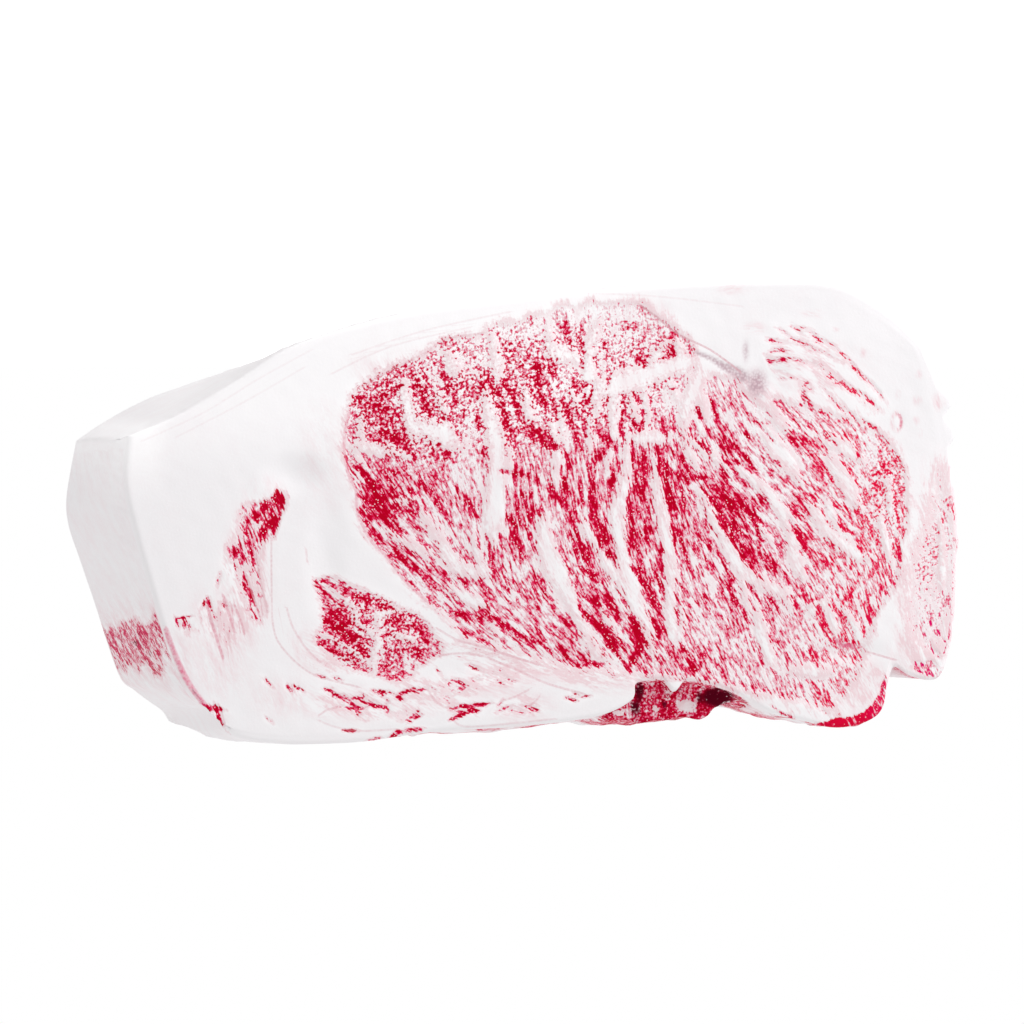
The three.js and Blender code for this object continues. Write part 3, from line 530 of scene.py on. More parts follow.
# Pink flush in the fat: x, z, radii and strength.
FLUSH = [
    (-91, 52, 10, 24, 0.7), (-97, 36, 18, 16, 0.45), (-86, 74, 9, 7, 0.3), (84, 108, 24, 13, 0.4),
    (118, 24, 14, 16, 0.7), (122, 52, 9, 30, 0.25), (-60, 12, 22, 8, 0.45), (-16, 18, 16, 8, 0.6),
    (-8, 9, 14, 7, 0.55), (-36, 13, 22, 9, 0.45), (0, 22, 34, 8, 0.5), (20, 16, 26, 6, 0.45),
    (60, 100, 18, 12, 0.4), (96, 12, 18, 14, 0.55), (66, 16, 26, 10, 0.5), (-70, 28, 14, 12, 0.4),
    (-68, 84, 12, 26, 0.2), (-80, 14, 16, 9, 0.3), (-100, 22, 14, 14, 0.3), (57, 133, 8, 3, 0.4),
    (64, 121, 6, 2.5, 0.5), (82, 125, 6, 2.5, 0.4), (30, 126, 10, 5, 0.5), (-45, 110, 24, 8, 0.3),
    (-54.6, 7.5, 4.5, 2.5, 0.2), (-102, 8.5, 7, 6, 0.7), (-112, 24, 6, 14, 0.5),
    (112, 44, 6, 16, 0.4), (89.5, 120.5, 2.4, 1.3, 0.5), (98.5, 113.2, 1.6, 2.4, 0.4),
    (116.5, 106.6, 1.6, 2.4, 0.5), (116.3, 99, 2.4, 2.4, 0.45), (115.8, 92.7, 1.8, 2, 0.55),
    (117.3, 89, 1.3, 2, 0.5), (110, 100.8, 1.4, 2.4, 0.4), (122.5, 98.4, 3, 4, 0.6),
]

# Fine lines on the front cut: strength, redness and the points that each runs through.
LINES = [
    (0.7, 0.4, ((-98.3, 44), (-96.6, 38.5), (-95, 33.6))),
    (0.7, 0.3, ((-94.9, 41), (-93.3, 37), (-92.1, 33))),
    (0.65, 0.2, ((-91.5, 50), (-89.5, 44), (-87.6, 38))),
    (0.75, 0.45, ((-103, 41), (-101, 34), (-98.4, 26))),
    (0.55, 0.15, ((-88.6, 56), (-87.2, 48), (-85.2, 39))), (0.5, 0.1, ((-97, 33), (-96, 28))),
    (0.12, 0.1, ((-122, 89), (-104, 97), (-88, 106.5), (-72, 115))),
    (0.12, 0.1, ((-112, 90), (-92, 100), (-74, 110))),
    (0.2, 0.1, ((-66, 108), (-48, 116), (-24, 121.5))),
    (0.2, 0.1, ((-60, 113.5), (-38, 120.5), (-12, 126))),
    (0.15, 0.1, ((10, 131.5), (34, 130.4), (60, 127.5))),
    (0.9, 0.5, ((110.5, 94.5), (111.1, 92.9), (110.9, 91.4))),
    (0.75, 0.15, ((28, 128), (33, 124.6), (40.5, 119), (50, 114.5), (59.5, 108))),
    (0.35, 0.1, ((30, 122), (37, 117.5), (43, 113.5))),
    (0.5, 0.1, ((-84, 59.5), (-84, 48), (-83.5, 34.5), (-80, 27.5), (-71.5, 20.5), (-58, 16.5))),
    (0.5, 0.25,
     ((-33.5, 25), (-27.5, 25.6), (-20, 24.6), (-14, 22), (-8, 19.5), (-1, 16.2), (11, 12.6))),
    (0.5, 0.25, ((-34, 33), (-28, 29.5), (-21, 27.6), (-12, 24.6), (-3, 21.6))),
    (0.4, 0.15, ((-37, 15), (-35, 12), (-32.5, 10.2), (-29.5, 9.5))),
    (0.9, 0.75, ((90.5, 26.8), (92.5, 25.2), (95.5, 25), (97, 24), (99, 23.5))),
    (0.6, 0.2, ((98, 23.9), (104, 22), (109.5, 20.4))),
    (0.75, 1.0,
     ((-115.2, 34.5), (-113.8, 30.4), (-112.2, 26.5), (-110, 21.5), (-107.2, 16.8), (-104, 12.5))),
    (0.35, 0.2, ((-73.6, 57), (-73.3, 53.5))),
    (0.55, 0.5,
     ((-60.5, 97), (-62, 90), (-62, 84.5), (-61, 79), (-58.7, 74), (-58, 67), (-54, 59),
      (-49.5, 54.5), (-43.5, 47), (-37, 41))),
    (0.4, 0.2,
     ((-57, 104), (-50, 108), (-44, 111), (-37.5, 114), (-32.5, 117.6), (-26, 119), (-20, 119.8))),
    (0.4, 0.2, ((-79.5, 40), (-77.5, 34), (-73.5, 28), (-69.5, 24))),
    (0.35, 0.15, ((-70, 7), (-65, 5), (-58, 3.6), (-46, 3.8))),
    (0.4, 0.2, ((-70, 8.5), (-67, 10.2), (-63.5, 10.8))),
    (0.35, 0.2, ((-29.5, 6), (-25, 3.9), (-10, 4.6), (2, 5.5))),
    (0.4, 0.2, ((-15, 11), (-10, 12.6), (-6, 14.5))),
    (0.4, 0.2, ((-7, 9), (-4.5, 10.6), (-3, 12.2))),
]

# What shows in the pocket, where the front shows it: middle, radii and strength.
POCKET_FAT = [
    (33.5, 7.8, 2.2, 1.4, 1.2), (37.5, 11, 3, 1.5, 1.1), (43, 7.5, 5, 3, 1.0),
    (32.5, 14.6, 3.2, 1.6, 0.8), (22.5, 6, 3, 1.4, 1.4), (64, 6, 6, 2.5, 0.7),
    (48, 13, 3, 1.5, 0.5),
]
# Blood in the pocket, which is also painted shade: darkest at the hollow's shadowed corners.
POCKET_BLOOD_AND_SHADE = [
    (28.4, 13.2, 2.4, 5, 2.4), (27, 7.8, 2.4, 3.2, 2), (36.3, 8.2, 1.6, 1.6, 1.6),
    (53, 10.5, 8, 5, 1.9), (41, 12.6, 2.5, 1.6, 0.8), (20, 8, 5, 1.3, 0.7), (47, 10, 2, 4, 0.7),
]
# Dark clots in the band of lean on the trimmed end, by depth and height.
BAND_CLOTS = [
    (41, 27.4, 7, 2.4, 0.95), (26, 25.6, 6, 1.8, 0.9), (33, 31, 6, 2, 0.6), (58, 27, 8, 3, 0.6),
]
# Red along the underside's front edge, from and to across, how deep and how strong.
EDGE_RED = [
    (84, 108, 9, 7.0), (69, 77, 4, 3.5), (-19, -4, 3, 2.5), (-75, -68, 4, 2.5), (-62, -52, 4, 2.5),
]

# Two small vessels: x, z, radii of the ring and strength.
VESSELS = [(109.6, 92.6, 1.6, 2.5, 0.95), (-54.6, 7.5, 3.2, 1.3, 0.16)]

# Gristle: x, z, radii and strength.
GRISTLE = [(64.6, 104.4, 5.2, 6.2, 1.0), (60, 106.5, 3.0, 3.0, 0.8), (61, 114, 1.6, 5.0, 0.55)]
GRISTLE_TAIL = ((46, 113.6, 0.3), (50, 112, 0.5), (54, 109.7, 0.9), (58.5, 107.6, 1.5))

# ---- Lie of the fibres in the eye: x, z and degrees below the +X direction --------------

FIBRES = [
    (-50, 98, 60), (-52, 75, 56), (-45, 55, 45), (-30, 100, 72), (-30, 72, 62), (-25, 42, 48),
    (-14, 27, 36), (-18, 86, 88), (-15, 64, 84), (-9, 100, 74), (-8, 54, 68), (0, 36, 52),
    (6, 25, 44), (5, 96, 70), (5, 76, 80), (8, 55, 66), (15, 36, 54), (18, 102, 82),
    (18, 76, 80), (19, 56, 72), (22, 30, 50), (30, 96, 76), (30, 76, 78), (30, 50, 66),
    (35, 30, 60), (40, 96, 78), (39, 68, 76), (43, 45, 66), (43, 24, 56), (51, 95, 66),
    (50, 76, 52), (55, 58, 60), (57, 32, 66), (61, 95, 55), (64, 80, 48), (64, 58, 56),
    (65, 38, 64), (76, 86, 45), (75, 66, 46), (76, 44, 62), (86, 95, 44), (85, 74, 44),
    (89, 58, 50), (86, 38, 62), (86, 18, 62), (96, 85, 56), (95, 65, 54), (98, 45, 66),
    (96, 25, 62), (106, 80, 62), (108, 62, 72), (106, 42, 76),
]
FIBRE_REACH = 11.0  # how far each direction is felt
CAP_TURN = (62, 76)  # x and z that the fibres turn round at the rib side of the cap

# ---- Amounts that the fields share ------------------------------------------------------

FAR_OUTSIDE = -9.0  # reach of a point that lies in no muscle or strand
LEAST_LEAN = -6.0  # reach that stands for clean fat
SEAM_TAPER = 0.45  # how slowly seams and clefts end: the less, the longer their points
STRAND_TAPER = 0.35  # the same for strands of lean
LINE_FADE = 1.5  # how far past its end a fine line has faded out, and sideways starts to
LINE_REACH = 3.0  # how far to either side a fine line is followed
VESSEL_WALL = 0.45  # half thickness of a vessel's wall
BASE_RICHNESS = 0.388  # of the lean's red, where nothing makes it richer or paler
MOST_RICHNESS = 0.95  # of the deepest red strands
SLANT = (-0.287, 0.052)  # how a point moves in the front view for each mm behind the cut
BACK_WAVES = 40.0  # how far apart the knife's waves are taken on the two cuts
BACK_GRAIN = 300.0  # how far apart the fibres' noise is taken on the two cuts


# ---- Small functions ------------------------------------------------------------------


def smooth(start, end, value):
    """0 at start and 1 at end, between them 3t^2 - 2t^3. Start may be the greater one."""
    t = np.clip((value - start) / (end - start), 0.0, 1.0)
    return t * t * (3.0 - 2.0 * t)


def bump(t):
    """1 at t = 0, falling along a cosine to 0 where |t| is 1 or more."""
    return 0.5 + 0.5 * np.cos(np.pi * np.clip(np.abs(t), 0.0, 1.0))


def outward(share):
    """1 where a share is 1, -1 where it is 0, and 0 between."""
    return (share == 1) * 1.0 - (share == 0)


def from_rim(across, up):
    """Share of the way in from the nearest edge of a face."""
    return np.minimum.reduce([across, 1 - across, up, 1 - up])


def waves(seed, wavelength, *coordinates, count=14):
    """Soft random relief of about unit height: the sum of plane waves of about the given
    wavelength, in random directions and phases."""
    random = np.random.default_rng(seed)
    total = np.zeros(np.broadcast(*coordinates).shape)
    for _ in range(count):
        direction = random.normal(size=len(coordinates))
        direction *= random.uniform(0.7, 1.4) / np.linalg.norm(direction)
        phase = random.uniform(0.0, 2.0 * np.pi)
        angle = sum(d * c for d, c in zip(direction, coordinates))
        total += np.sin(2.0 * np.pi * angle / wavelength + phase)
    return total / math.sqrt(count / 2.0)


def spline(points, closed=False, steps=16):
    """Catmull-Rom curve through the points, its ends doubled unless it is closed:
    half of 2b + (c - a)t + (2a - 5b + 4c - d)t^2 + (3b - 3c + d - a)t^3 on each span."""
    p = np.asarray(points, float)
    p = np.vstack([p[-1:], p, p[:2]]) if closed else np.vstack([p[:1], p, p[-1:]])
    a, b, c, d = (p[i : len(p) - 3 + i, None] for i in range(4))
    t = np.linspace(0.0, 1.0, steps, endpoint=False)[None, :, None]
    curve = 0.5 * (
        2 * b + (c - a) * t + (2 * a - 5 * b + 4 * c - d) * t**2 + (3 * b - 3 * c + d - a) * t**3
    )
    return np.vstack([curve.reshape(-1, p.shape[1]), p[-2:-1]])


def along(points, share):
    """The point at a share of the length of the curve through the points."""
    curve = spline(points, steps=24)
    length = np.concatenate([[0.0], np.cumsum(np.linalg.norm(np.diff(curve, axis=0), axis=1))])
    run = share * length[-1]
    return np.stack([np.interp(run, length, curve[:, k]) for k in range(2)], -1)


def inside(outline, across, up):
    """Coons patch: the blend of the two pairs of opposite stretches, less the blend of
    the four corners that both pairs hold."""
    s, t = across[..., None], up[..., None]
    low, high = along(outline["underside"], across), along(outline["fat_cap"], across)
    left, right = along(outline["trimmed_end"], up), along(outline["rib_side"], up)
    ends = [np.array(outline[name][k], float) for name in ("underside", "fat_cap") for k in (0, -1)]
    corners = (ends[0] * (1 - s) + ends[1] * s) * (1 - t) + (ends[2] * (1 - s) + ends[3] * s) * t
    return low * (1 - t) + high * t + left * (1 - s) + right * s - corners


def ellipses(forms, x, z):
    """Sum of height times bump(distance from the middle in radii) over the forms."""
    return sum(h * bump(np.hypot((x - cx) / rx, (z - cz) / rz)) for cx, cz, rx, rz, h in forms)


# ---- Relief that the solid has too ----------------------------------------------------


def knife_waves(x, z):
    """Gentle unevenness that the knife leaves on a cut face: three plane waves."""
    return (
        0.28 * np.sin(x / 17 + z / 31)
        + 0.22 * np.sin(z / 13 - x / 41 + 1.3)
        + 0.16 * np.sin(x / 8.5 - z / 11 + 0.7)
    )


def skin_waves(x, y, z):
    """Ridges and hollows of the outer skin of fat: three plane waves."""
    return (
        0.3 * np.sin(x / 15 + y / 34 + 0.4)
        + 0.3 * np.sin(z / 12 - y / 19 + 2.1)
        + 0.2 * np.sin((x + z) / 7 + y / 11)
    )


def torn_fat(depth, z):
    """How far the torn shreds stand out of the rib side: a bump for each along z that
    fades with depth."""
    shreds = sum(out * bump((z - middle) / half) for middle, half, out in TORN_FAT)
    return smooth(TORN_DEPTH, CUT_EDGE, depth) * shreds


def hang_behind_pocket(x, z):
    """How far the meat behind the pocket hangs below the pocket's ceiling at (x, z)."""
    rise = smooth(POCKET["rises_from"], POCKET["rises_to"], x)
    gap = POCKET["low"] + (POCKET["high"] - POCKET["low"]) * rise
    start, end = POCKET["from"], POCKET["to"]
    return np.maximum(z - gap, 0) * smooth(start, start + 10, x) * smooth(end, end - 8, x)


def rests_on_table(x, z):
    """1 where the underside sinks all the way to the table, 0 where it stays clear of it."""
    return smooth(8, 3.5, z) * (1 - bump((x - ARCH["middle"]) / ARCH["half"]))


# ---- The block's surface --------------------------------------------------------------


def place(across, up, depth, inset):
    """Point of the block for shares across and up (0 to 1), a depth behind the front cut,
    and the share of the cut edge's inset. The outline runs from the front's to the back's
    in proportion to depth. Returns x, y, z and where the point lies on the front cut."""
    share = depth / THICKNESS
    columns = across + CROWDING * across * (1 - across)
    front = inside(FRONT, columns, up)
    on_cut = front.copy()
    pocket = smooth(POCKET_DEPTH - POCKET_STEP, POCKET_DEPTH, depth)
    hang = hang_behind_pocket(front[..., 0], front[..., 1])
    front[..., 1] -= pocket * hang * smooth(0.2, 0, up)
    flap = bump((front[..., 0] - FLAP["x"]) / FLAP["half"]) * smooth(FLAP["depth"], 2, depth)
    front[..., 1] -= FLAP["drop"] * flap * smooth(0.06, 0, up)
    point = front * (1 - share)[..., None] + inside(BACK, columns, up) * share[..., None]
    point -= (point - FACE_MIDDLE) * (CUT_EDGE / HALF_SIZE) * inset[..., None]

    x, z = point[..., 0], point[..., 1]
    y = depth - THICKNESS / 2
    between_cuts = smooth(0, FADE, share) * smooth(0, FADE, 1 - share)
    wave = skin_waves(x, y, z) * between_cuts
    rest = SETTLE * smooth(0, SETTLED_AT, share) * rests_on_table(front[..., 0], front[..., 1])
    x = x + (across == 0) * 0.4 * wave + (across == 1) * (wave + torn_fat(depth, z))
    z = z + (up == 1) * wave - (up == 0) * rest
    return x, y, np.maximum(z, 0), on_cut


# ---- Where lean, fat and gristle lie on a cut ------------------------------------------


def outline_reach(outline, x, z):
    """Distance to a smooth closed outline, above 0 inside it and below 0 outside."""
    curve = spline(outline, closed=True, steps=4)
    best = np.full(x.shape, np.inf)
    crossings = np.zeros(x.shape, int)
    for (x0, z0), (x1, z1) in zip(curve[:-1], curve[1:]):
        dx, dz = x1 - x0, z1 - z0
        t = np.clip(((x - x0) * dx + (z - z0) * dz) / (dx * dx + dz * dz), 0, 1)
        best = np.minimum(best, np.hypot(x - x0 - t * dx, z - z0 - t * dz))
        if z0 != z1:
            crossings += ((z0 > z) != (z1 > z)) & (x < x0 + (z - z0) * dx / dz)
    return np.where(crossings % 2 == 1, best, -best)


def strand_reach(strand, x, z, taper):
    """Half width less distance to a strand of (x, z, half width), above 0 inside it.
    Past its two ends distance counts only taper times, which draws them out to points."""
    best = np.full(x.shape, -np.inf)
    last = len(strand) - 2
    for k, ((x0, z0, w0), (x1, z1, w1)) in enumerate(zip(strand[:-1], strand[1:])):
        length = math.hypot(x1 - x0, z1 - z0)
        dx, dz = (x1 - x0) / length, (z1 - z0) / length
        run = (x - x0) * dx + (z - z0) * dz
        before = np.minimum(run, 0) * (taper if k == 0 else 1.0)
        after = np.maximum(run - length, 0) * (taper if k == last else 1.0)
        aside = (x - x0) * dz - (z - z0) * dx
        width = w0 + (w1 - w0) * np.clip(run / length, 0, 1)
        best = np.maximum(best, width - np.hypot(aside, after - before))
    return best


def greatest_reach(strands, x, z, taper):
    """The reach into whichever of the strands a point lies furthest in."""
    best = np.full(x.shape, FAR_OUTSIDE)
    for strand in strands:
        best = np.maximum(best, strand_reach(strand, x, z, taper))
    return best


def muscle_reach(x, z):
    """Reach into whichever muscle a point lies furthest in, and how much richer that
    muscle's red is."""
    best = np.full(x.shape, FAR_OUTSIDE)
    richer = np.zeros(x.shape)
    for outline, red, most, firmness in MUSCLES:
        reach = np.minimum(firmness * outline_reach(outline, x, z), most)
        richer = np.where(reach > best, red, richer)
        best = np.maximum(best, reach)
    return best, richer


def distance_to_line(points, x, z):
    """Distance to the curve through the points, the same with a sign for its side, and
    how far past the curve's end it counts."""
    closest, signed, beyond = (np.full(x.shape, value) for value in (np.inf, 0.0, 0.0))
    curve = spline(points, steps=6)
    for (x0, z0), (x1, z1) in zip(curve[:-1], curve[1:]):
        length = math.hypot(x1 - x0, z1 - z0)
        if length == 0:
            continue
        dx, dz = (x1 - x0) / length, (z1 - z0) / length
        run = np.clip((x - x0) * dx + (z - z0) * dz, 0, length)
        ox, oz = x - x0 - run * dx, z - z0 - run * dz
        distance = np.hypot(ox, oz)
        closer = distance < closest
        closest = np.where(closer, distance, closest)
        signed = np.where(closer, np.where(ox * dz < oz * dx, -distance, distance), signed)
        beyond = np.where(closer, np.abs(ox * dx + oz * dz), beyond)
    return closest, signed, beyond


def line_field(x, z):
    """For the nearest fine line: signed distance across it, strength and redness. Strength
    fades where the next line is as near, because the sign of the distance changes there."""
    nearest, second = np.full(x.shape, np.inf), np.full(x.shape, np.inf)
    across, strength, redness = (np.zeros(x.shape) for _ in range(3))
    for amount, red, points in LINES:
        closest, signed, beyond = distance_to_line(points, x, z)
        closer = closest < nearest
        second = np.where(closer, nearest, np.minimum(second, closest))
        nearest = np.where(closer, closest, nearest)
        across = np.where(closer, signed, across)
        strength = np.where(closer, amount * smooth(LINE_FADE, 0, beyond), strength)
        redness = np.where(closer, red, redness)
    fade = smooth(LINE_REACH, LINE_FADE, nearest) * smooth(0.2, 1.2, second - nearest)
    return np.clip(across, -LINE_REACH, LINE_REACH), strength * fade, redness


def fibre_angle(x, z):
    """Degrees below +X of the eye's fibres: the mean of the given ones, each weighted by
    exp(-(distance / reach)^2)."""
    near = np.zeros(x.shape)
    total = np.zeros(x.shape)
    for fx, fz, degrees in FIBRES:
        weight = np.exp(-((x - fx) ** 2 + (z - fz) ** 2) / FIBRE_REACH**2) + 1e-6
        near += weight
        total += weight * degrees
    return total / near


def grain_angle(x, z):
    """Degrees below +X that the fibres lie at: the eye's own, round a middle in the fat at
    the rib side of the cap, and straight in the flank, side muscle and lower layer."""
    angle = fibre_angle(x, z)
    turn = np.degrees(np.arctan2(x - CAP_TURN[0], z - CAP_TURN[1]))
    outside_eye = smooth(-0.5, -2.5, outline_reach(EYE, x, z))
    regions = [
        (turn, smooth(-2, 2, (z - 104) + 0.75 * (x - 76))),
        (66.0, smooth(-74, -78, x)),
        (32.0, smooth(-78, -74, x) * smooth(-29, -33, x) * smooth(52, 48, z)),
        (18.0, smooth(-33, -29, x) * smooth(55, 45, x) * smooth(30, 26, z)),
    ]
    for degrees, where in regions:
        angle = angle + (degrees - angle) * where * outside_eye
    return angle


def cut_fields(x, z):
    """What the flesh is at a point of the front cut, as four arrays of three values:
    meat (reach into the lean, richness, granular), stain (flush, blood and painted shade,
    gristle), grain (x, z, degrees) and line (across, strength, redness)."""
    rim, richer = muscle_reach(x, z)
    lean = np.minimum(rim, -greatest_reach(FAT_SEAMS, x, z, SEAM_TAPER))

    # strands are broader low on the left, softer in the cap's fat and firmer on the lobe
    strand = greatest_reach(LEAN_STRANDS, x, z, STRAND_TAPER)
    strand = strand + 0.12 * smooth(22, 14, z) * smooth(14, 8, x)
    soft = smooth(64, 72, x) * smooth(88, 96, z) * smooth(0, -3, rim)
    firmest = 1.8 + 0.8 * smooth(84, 90, x) * smooth(21, 18, z)
    lean = np.maximum(lean, np.minimum(0.3 - 0.2 * soft + (4 - 2 * soft) * strand, firmest))
    lean = np.minimum(lean, -2 * greatest_reach(CLEFTS, x, z, SEAM_TAPER))
    streaked = ellipses(STREAKED, x, z)
    lean = np.maximum(lean, -5.5 + 2.8 * smooth(0, 0.7, streaked) + streaked)

    # strands are richer than what is round them, least of all low on the rib side
    plain = smooth(68, 84, x) * smooth(11, 18, z)
    rich = BASE_RICHNESS + richer + 0.5 * ellipses(RICHNESS, x, z)
    rich = rich - 0.12 * smooth(0.8, 2, streaked) * smooth(0, -2, rim)
    rich = np.minimum(rich, 0.7 - 0.1 * plain)
    rich = rich + (0.36 - 0.2 * soft - 0.1 * plain) * smooth(-0.5, 0.5, strand)
    rich = np.minimum(rich, MOST_RICHNESS)
    granular = np.clip(1.6 * ellipses(GRANULAR, x, z), 0, 1)

    flush = np.clip(ellipses(FLUSH, x, z), 0, 1) + 0.2 * smooth(-4, 0.5, rim)
    tail = smooth(-0.6, 0.3, strand_reach(GRISTLE_TAIL, x, z, 0.5))
    gristle = np.maximum(np.clip(1.3 * ellipses(GRISTLE, x, z), 0, 1), 0.9 * tail)
    for vx, vz, rx, rz, strength in VESSELS:
        ring = np.hypot((x - vx) / rx, (z - vz) / rz)
        vessel = strength * np.exp(-(((ring - 1) * min(rx, rz) / VESSEL_WALL) ** 2))
        flush = np.maximum(flush, vessel)
        rich = rich + vessel
    return (
        np.stack([np.clip(lean, LEAST_LEAN, 4), rich, granular], -1),
        np.stack([flush, np.zeros(x.shape), gristle], -1),
        np.stack([x, z, grain_angle(x, z)], -1),
        np.stack(line_field(x, z), -1),
    )


# ---- What shows on the sides ------------------------------------------------------------


def end_band(depth, z):
    """Reach into the band of lean on the trimmed end, which falls towards the back."""
    top = 38.6 - 0.13 * depth - 1.6 * bump((depth - 12) / 12) + 1.2 * bump((depth - 44) / 16)
    low = 26.0 - 0.13 * depth - 4 * bump((depth - 24) / 18) + 2 * bump((depth - 8) / 6)
    return np.minimum(top - z, z - low) + 0.8 * waves(11, 9.0, depth * 0.55 + z, 0.3 * depth)


def in_pocket(x, shown_x, depth):
    """1 on the pocket's ceiling and on the meat behind it, 0 away from them."""
    behind = smooth(POCKET_DEPTH - 6, POCKET_DEPTH, depth) * smooth(40, 24, depth)
    behind = behind * smooth(14, 18, shown_x) * smooth(72, 62, shown_x)
    ceiling = smooth(14, 9, depth) * smooth(26, 30, x) * smooth(66, 60, x)
    return np.clip(behind + ceiling, 0, 1)


def edge_red(x, depth):
    """How much further the lean reaches at the red places of the underside's edge."""
    total = np.zeros(x.shape)
    for start, end, deep, strength in EDGE_RED:
        share = smooth(start - 2, start + 1, x) * smooth(end + 2, end - 1, x)
        total += 2 * strength * share * smooth(deep, 0.4 * deep, depth)
    return total


def wall_fields(x, z, across, up, depth, on_cut):
    """What shows on the sides between the cuts: clean fat, a band of lean on the trimmed
    end and red meat with membranes on the underside, in the layout of cut_fields."""
    left, below, on_top = across < 0.08, up < 0.04, up > 0.96
    near_cut = np.exp(-((depth / 5) ** 2))
    band = end_band(depth, z)
    lean = np.where(left, np.clip(0.8 * band - 1.3, LEAST_LEAN, -0.4), LEAST_LEAN)

    # red meat under membranes, with little of it at the trimmed end and beside the lobe
    patches = waves(12, 24.0, x, depth * 1.3) - 0.3 - 4 * smooth(-40, -80, x)
    patches = patches - 3 * smooth(56, 62, x) * smooth(84, 80, x) * smooth(12, 4, depth)
    lean = np.where(below, np.clip(2.0 * patches, -5, 1.5), lean)

    # the pocket's fat, and its blood with painted shade of the hollow, lie where the camera
    # sees them
    shown_x, shown_z = x + SLANT[0] * depth, z + SLANT[1] * depth
    pocket = in_pocket(x, shown_x, depth) * below
    chunks = np.clip(ellipses(POCKET_FAT, shown_x, shown_z), 0, 1)
    lean = lean * (1 - pocket) + pocket * (2.3 - 6.0 * chunks)
    lean = np.minimum(lean + edge_red(x, depth) * below, 2.5)
    # painted shade: a little over the whole pocket, more where the hollow lies in shadow, together
    # with the blood
    blood_and_painted_shade = np.clip(ellipses(POCKET_BLOOD_AND_SHADE, shown_x, shown_z), 0.18, 1) * pocket
    blood_and_painted_shade = np.maximum(blood_and_painted_shade, left * ellipses(BAND_CLOTS, depth, z))

    rich = np.where(below, 0.55, 0.76) + 0.1 * pocket - 0.3 * chunks * pocket
    rich = np.where(left, 0.78 * smooth(-3, 0, band) + 0.1 * near_cut, rich)
    pale = 0.1 + (0.3 * smooth(-12, 1, band) + 0.5 * near_cut * smooth(44, 36, z)) * left
    flush = np.where(below, np.clip(0.5 + 0.2 * patches, 0.1, 0.8), pale)
    flush = np.where(on_top, 0.05, flush) + 0.4 * chunks * pocket

    # the sides folded out round the edge of the front cut, so that the grain runs on
    a = on_cut[..., 0] + depth * outward(across)
    b = on_cut[..., 1] + depth * outward(up)
    degrees = np.where(below | on_top, 2.0, 27.0)
    nothing = np.zeros(x.shape)
    return (
        np.stack([lean, rich, 0.2 + 0.25 * pocket], -1),
        np.stack([flush, blood_and_painted_shade, nothing], -1),
        np.stack([a, b, degrees], -1),
        np.stack([nothing + LINE_REACH, nothing, nothing], -1),
    )


def block_fields(x, z, across, up, depth, on_cut):
    """The fields over the whole block: the front cut's own, the same muscles shifted and
    bent on the back cut, and the walls' between them."""
    front = cut_fields(x, z)
    behind = (depth > THICKNESS / 2)[..., None]
    bent_x = on_cut[..., 0] + 3.0 * waves(21, 110.0, x, z) + 2.0
    bent_z = on_cut[..., 1] + 2.5 * waves(22, 95.0, x, z)
    back = cut_fields(bent_x, bent_z)
    wall = wall_fields(x, z, across, up, depth, on_cut)
    into_wall = smooth(0.3, 3.0, np.minimum(depth, THICKNESS - depth))[..., None]
    meat, stain, grain, line = (np.where(behind, b, a) for a, b in zip(front, back))
    grain = grain + behind * np.array([BACK_GRAIN, 0.0, 0.0])
    meat, stain, line = (
        cut * (1 - into_wall) + wall[k] * into_wall for k, cut in ((0, meat), (1, stain), (3, line))
    )
    return meat, stain, np.where(into_wall > 0.5, wall[2], grain), line


def relief(settings, fields, x, y, z, across, up, depth):
    """Fine relief that the solid is too coarse for, along the outward normal: on the
    cuts fat stands above lean and the lines are grooves; the sides are fibrous."""
    meat, stain, _, line = fields
    fat = smooth(1.2, -0.8, meat[:, 0])
    rise = settings.fat_rise / MM * (fat - 0.5)
    rise = rise + 0.05 * waves(31, 2.2, x, z) * (1 - fat) + 0.015 * waves(32, 6.0, x, z)
    rise = rise - 0.1 * line[:, 1] * np.exp(-((line[:, 0] / 0.9) ** 2)) - 0.2 * stain[:, 2]
    rise = rise * smooth(0, 0.03, from_rim(across, up))

    ridges = 0.3 * waves(33, 3.2, z + 0.35 * x, y * 0.12) + 0.5 * waves(34, 9.0, x * 0.3, y, z)
    lumps = waves(35, 9.0, x, y, z) * (up < 0.04) * (meat[:, 0] > -1)
    from_cut = np.minimum(depth, THICKNESS - depth)
    side = (settings.fibre_relief / MM * ridges + 0.35 * lumps) * smooth(1.0, 4.0, from_cut)
    on_cut = from_cut == 0
    return np.where(on_cut, rise, 0.0), np.where(on_cut, 0.0, side)


# ---- Settings ---------------------------------------------------------------------------


def in_facets(name, description, default):
    """A setting that counts facets."""
    return IntProperty(name=name, description=description, default=default, min=20)


def in_metres(name, description, default):
    """A setting that is a length."""
    return FloatProperty(name=name, description=description, default=default, unit="LENGTH")


def in_degrees(name, description, degrees):
    """A setting that is an angle, which is kept in radians."""
    return FloatProperty(
        name=name, description=description, default=math.radians(degrees), subtype="ANGLE"
    )


def in_watts(name, description, default):
    """A setting that is a lamp's power."""
    return FloatProperty(name=name, description=description, default=default, min=0, unit="POWER")


def colour(name, description, default):
    """A setting that is a colour."""
    return FloatVectorProperty(
        name=name, description=description, default=default, subtype="COLOR", size=3, min=0, max=1
    )


class SirloinShape(bpy.types.PropertyGroup):
    columns: in_facets("Columns", "Facets across the front cut, an even number", 330)
    rows: in_facets("Rows", "Facets up the front cut, an even number", 172)
    fat_rise: in_metres("Fat rise", "How far fat stands above the lean on the cuts", 0.0003)
    fibre_relief: in_metres(
        "Fibre relief", "Height of the fibrous ridges on the fat cap and the sides", 0.00022
    )


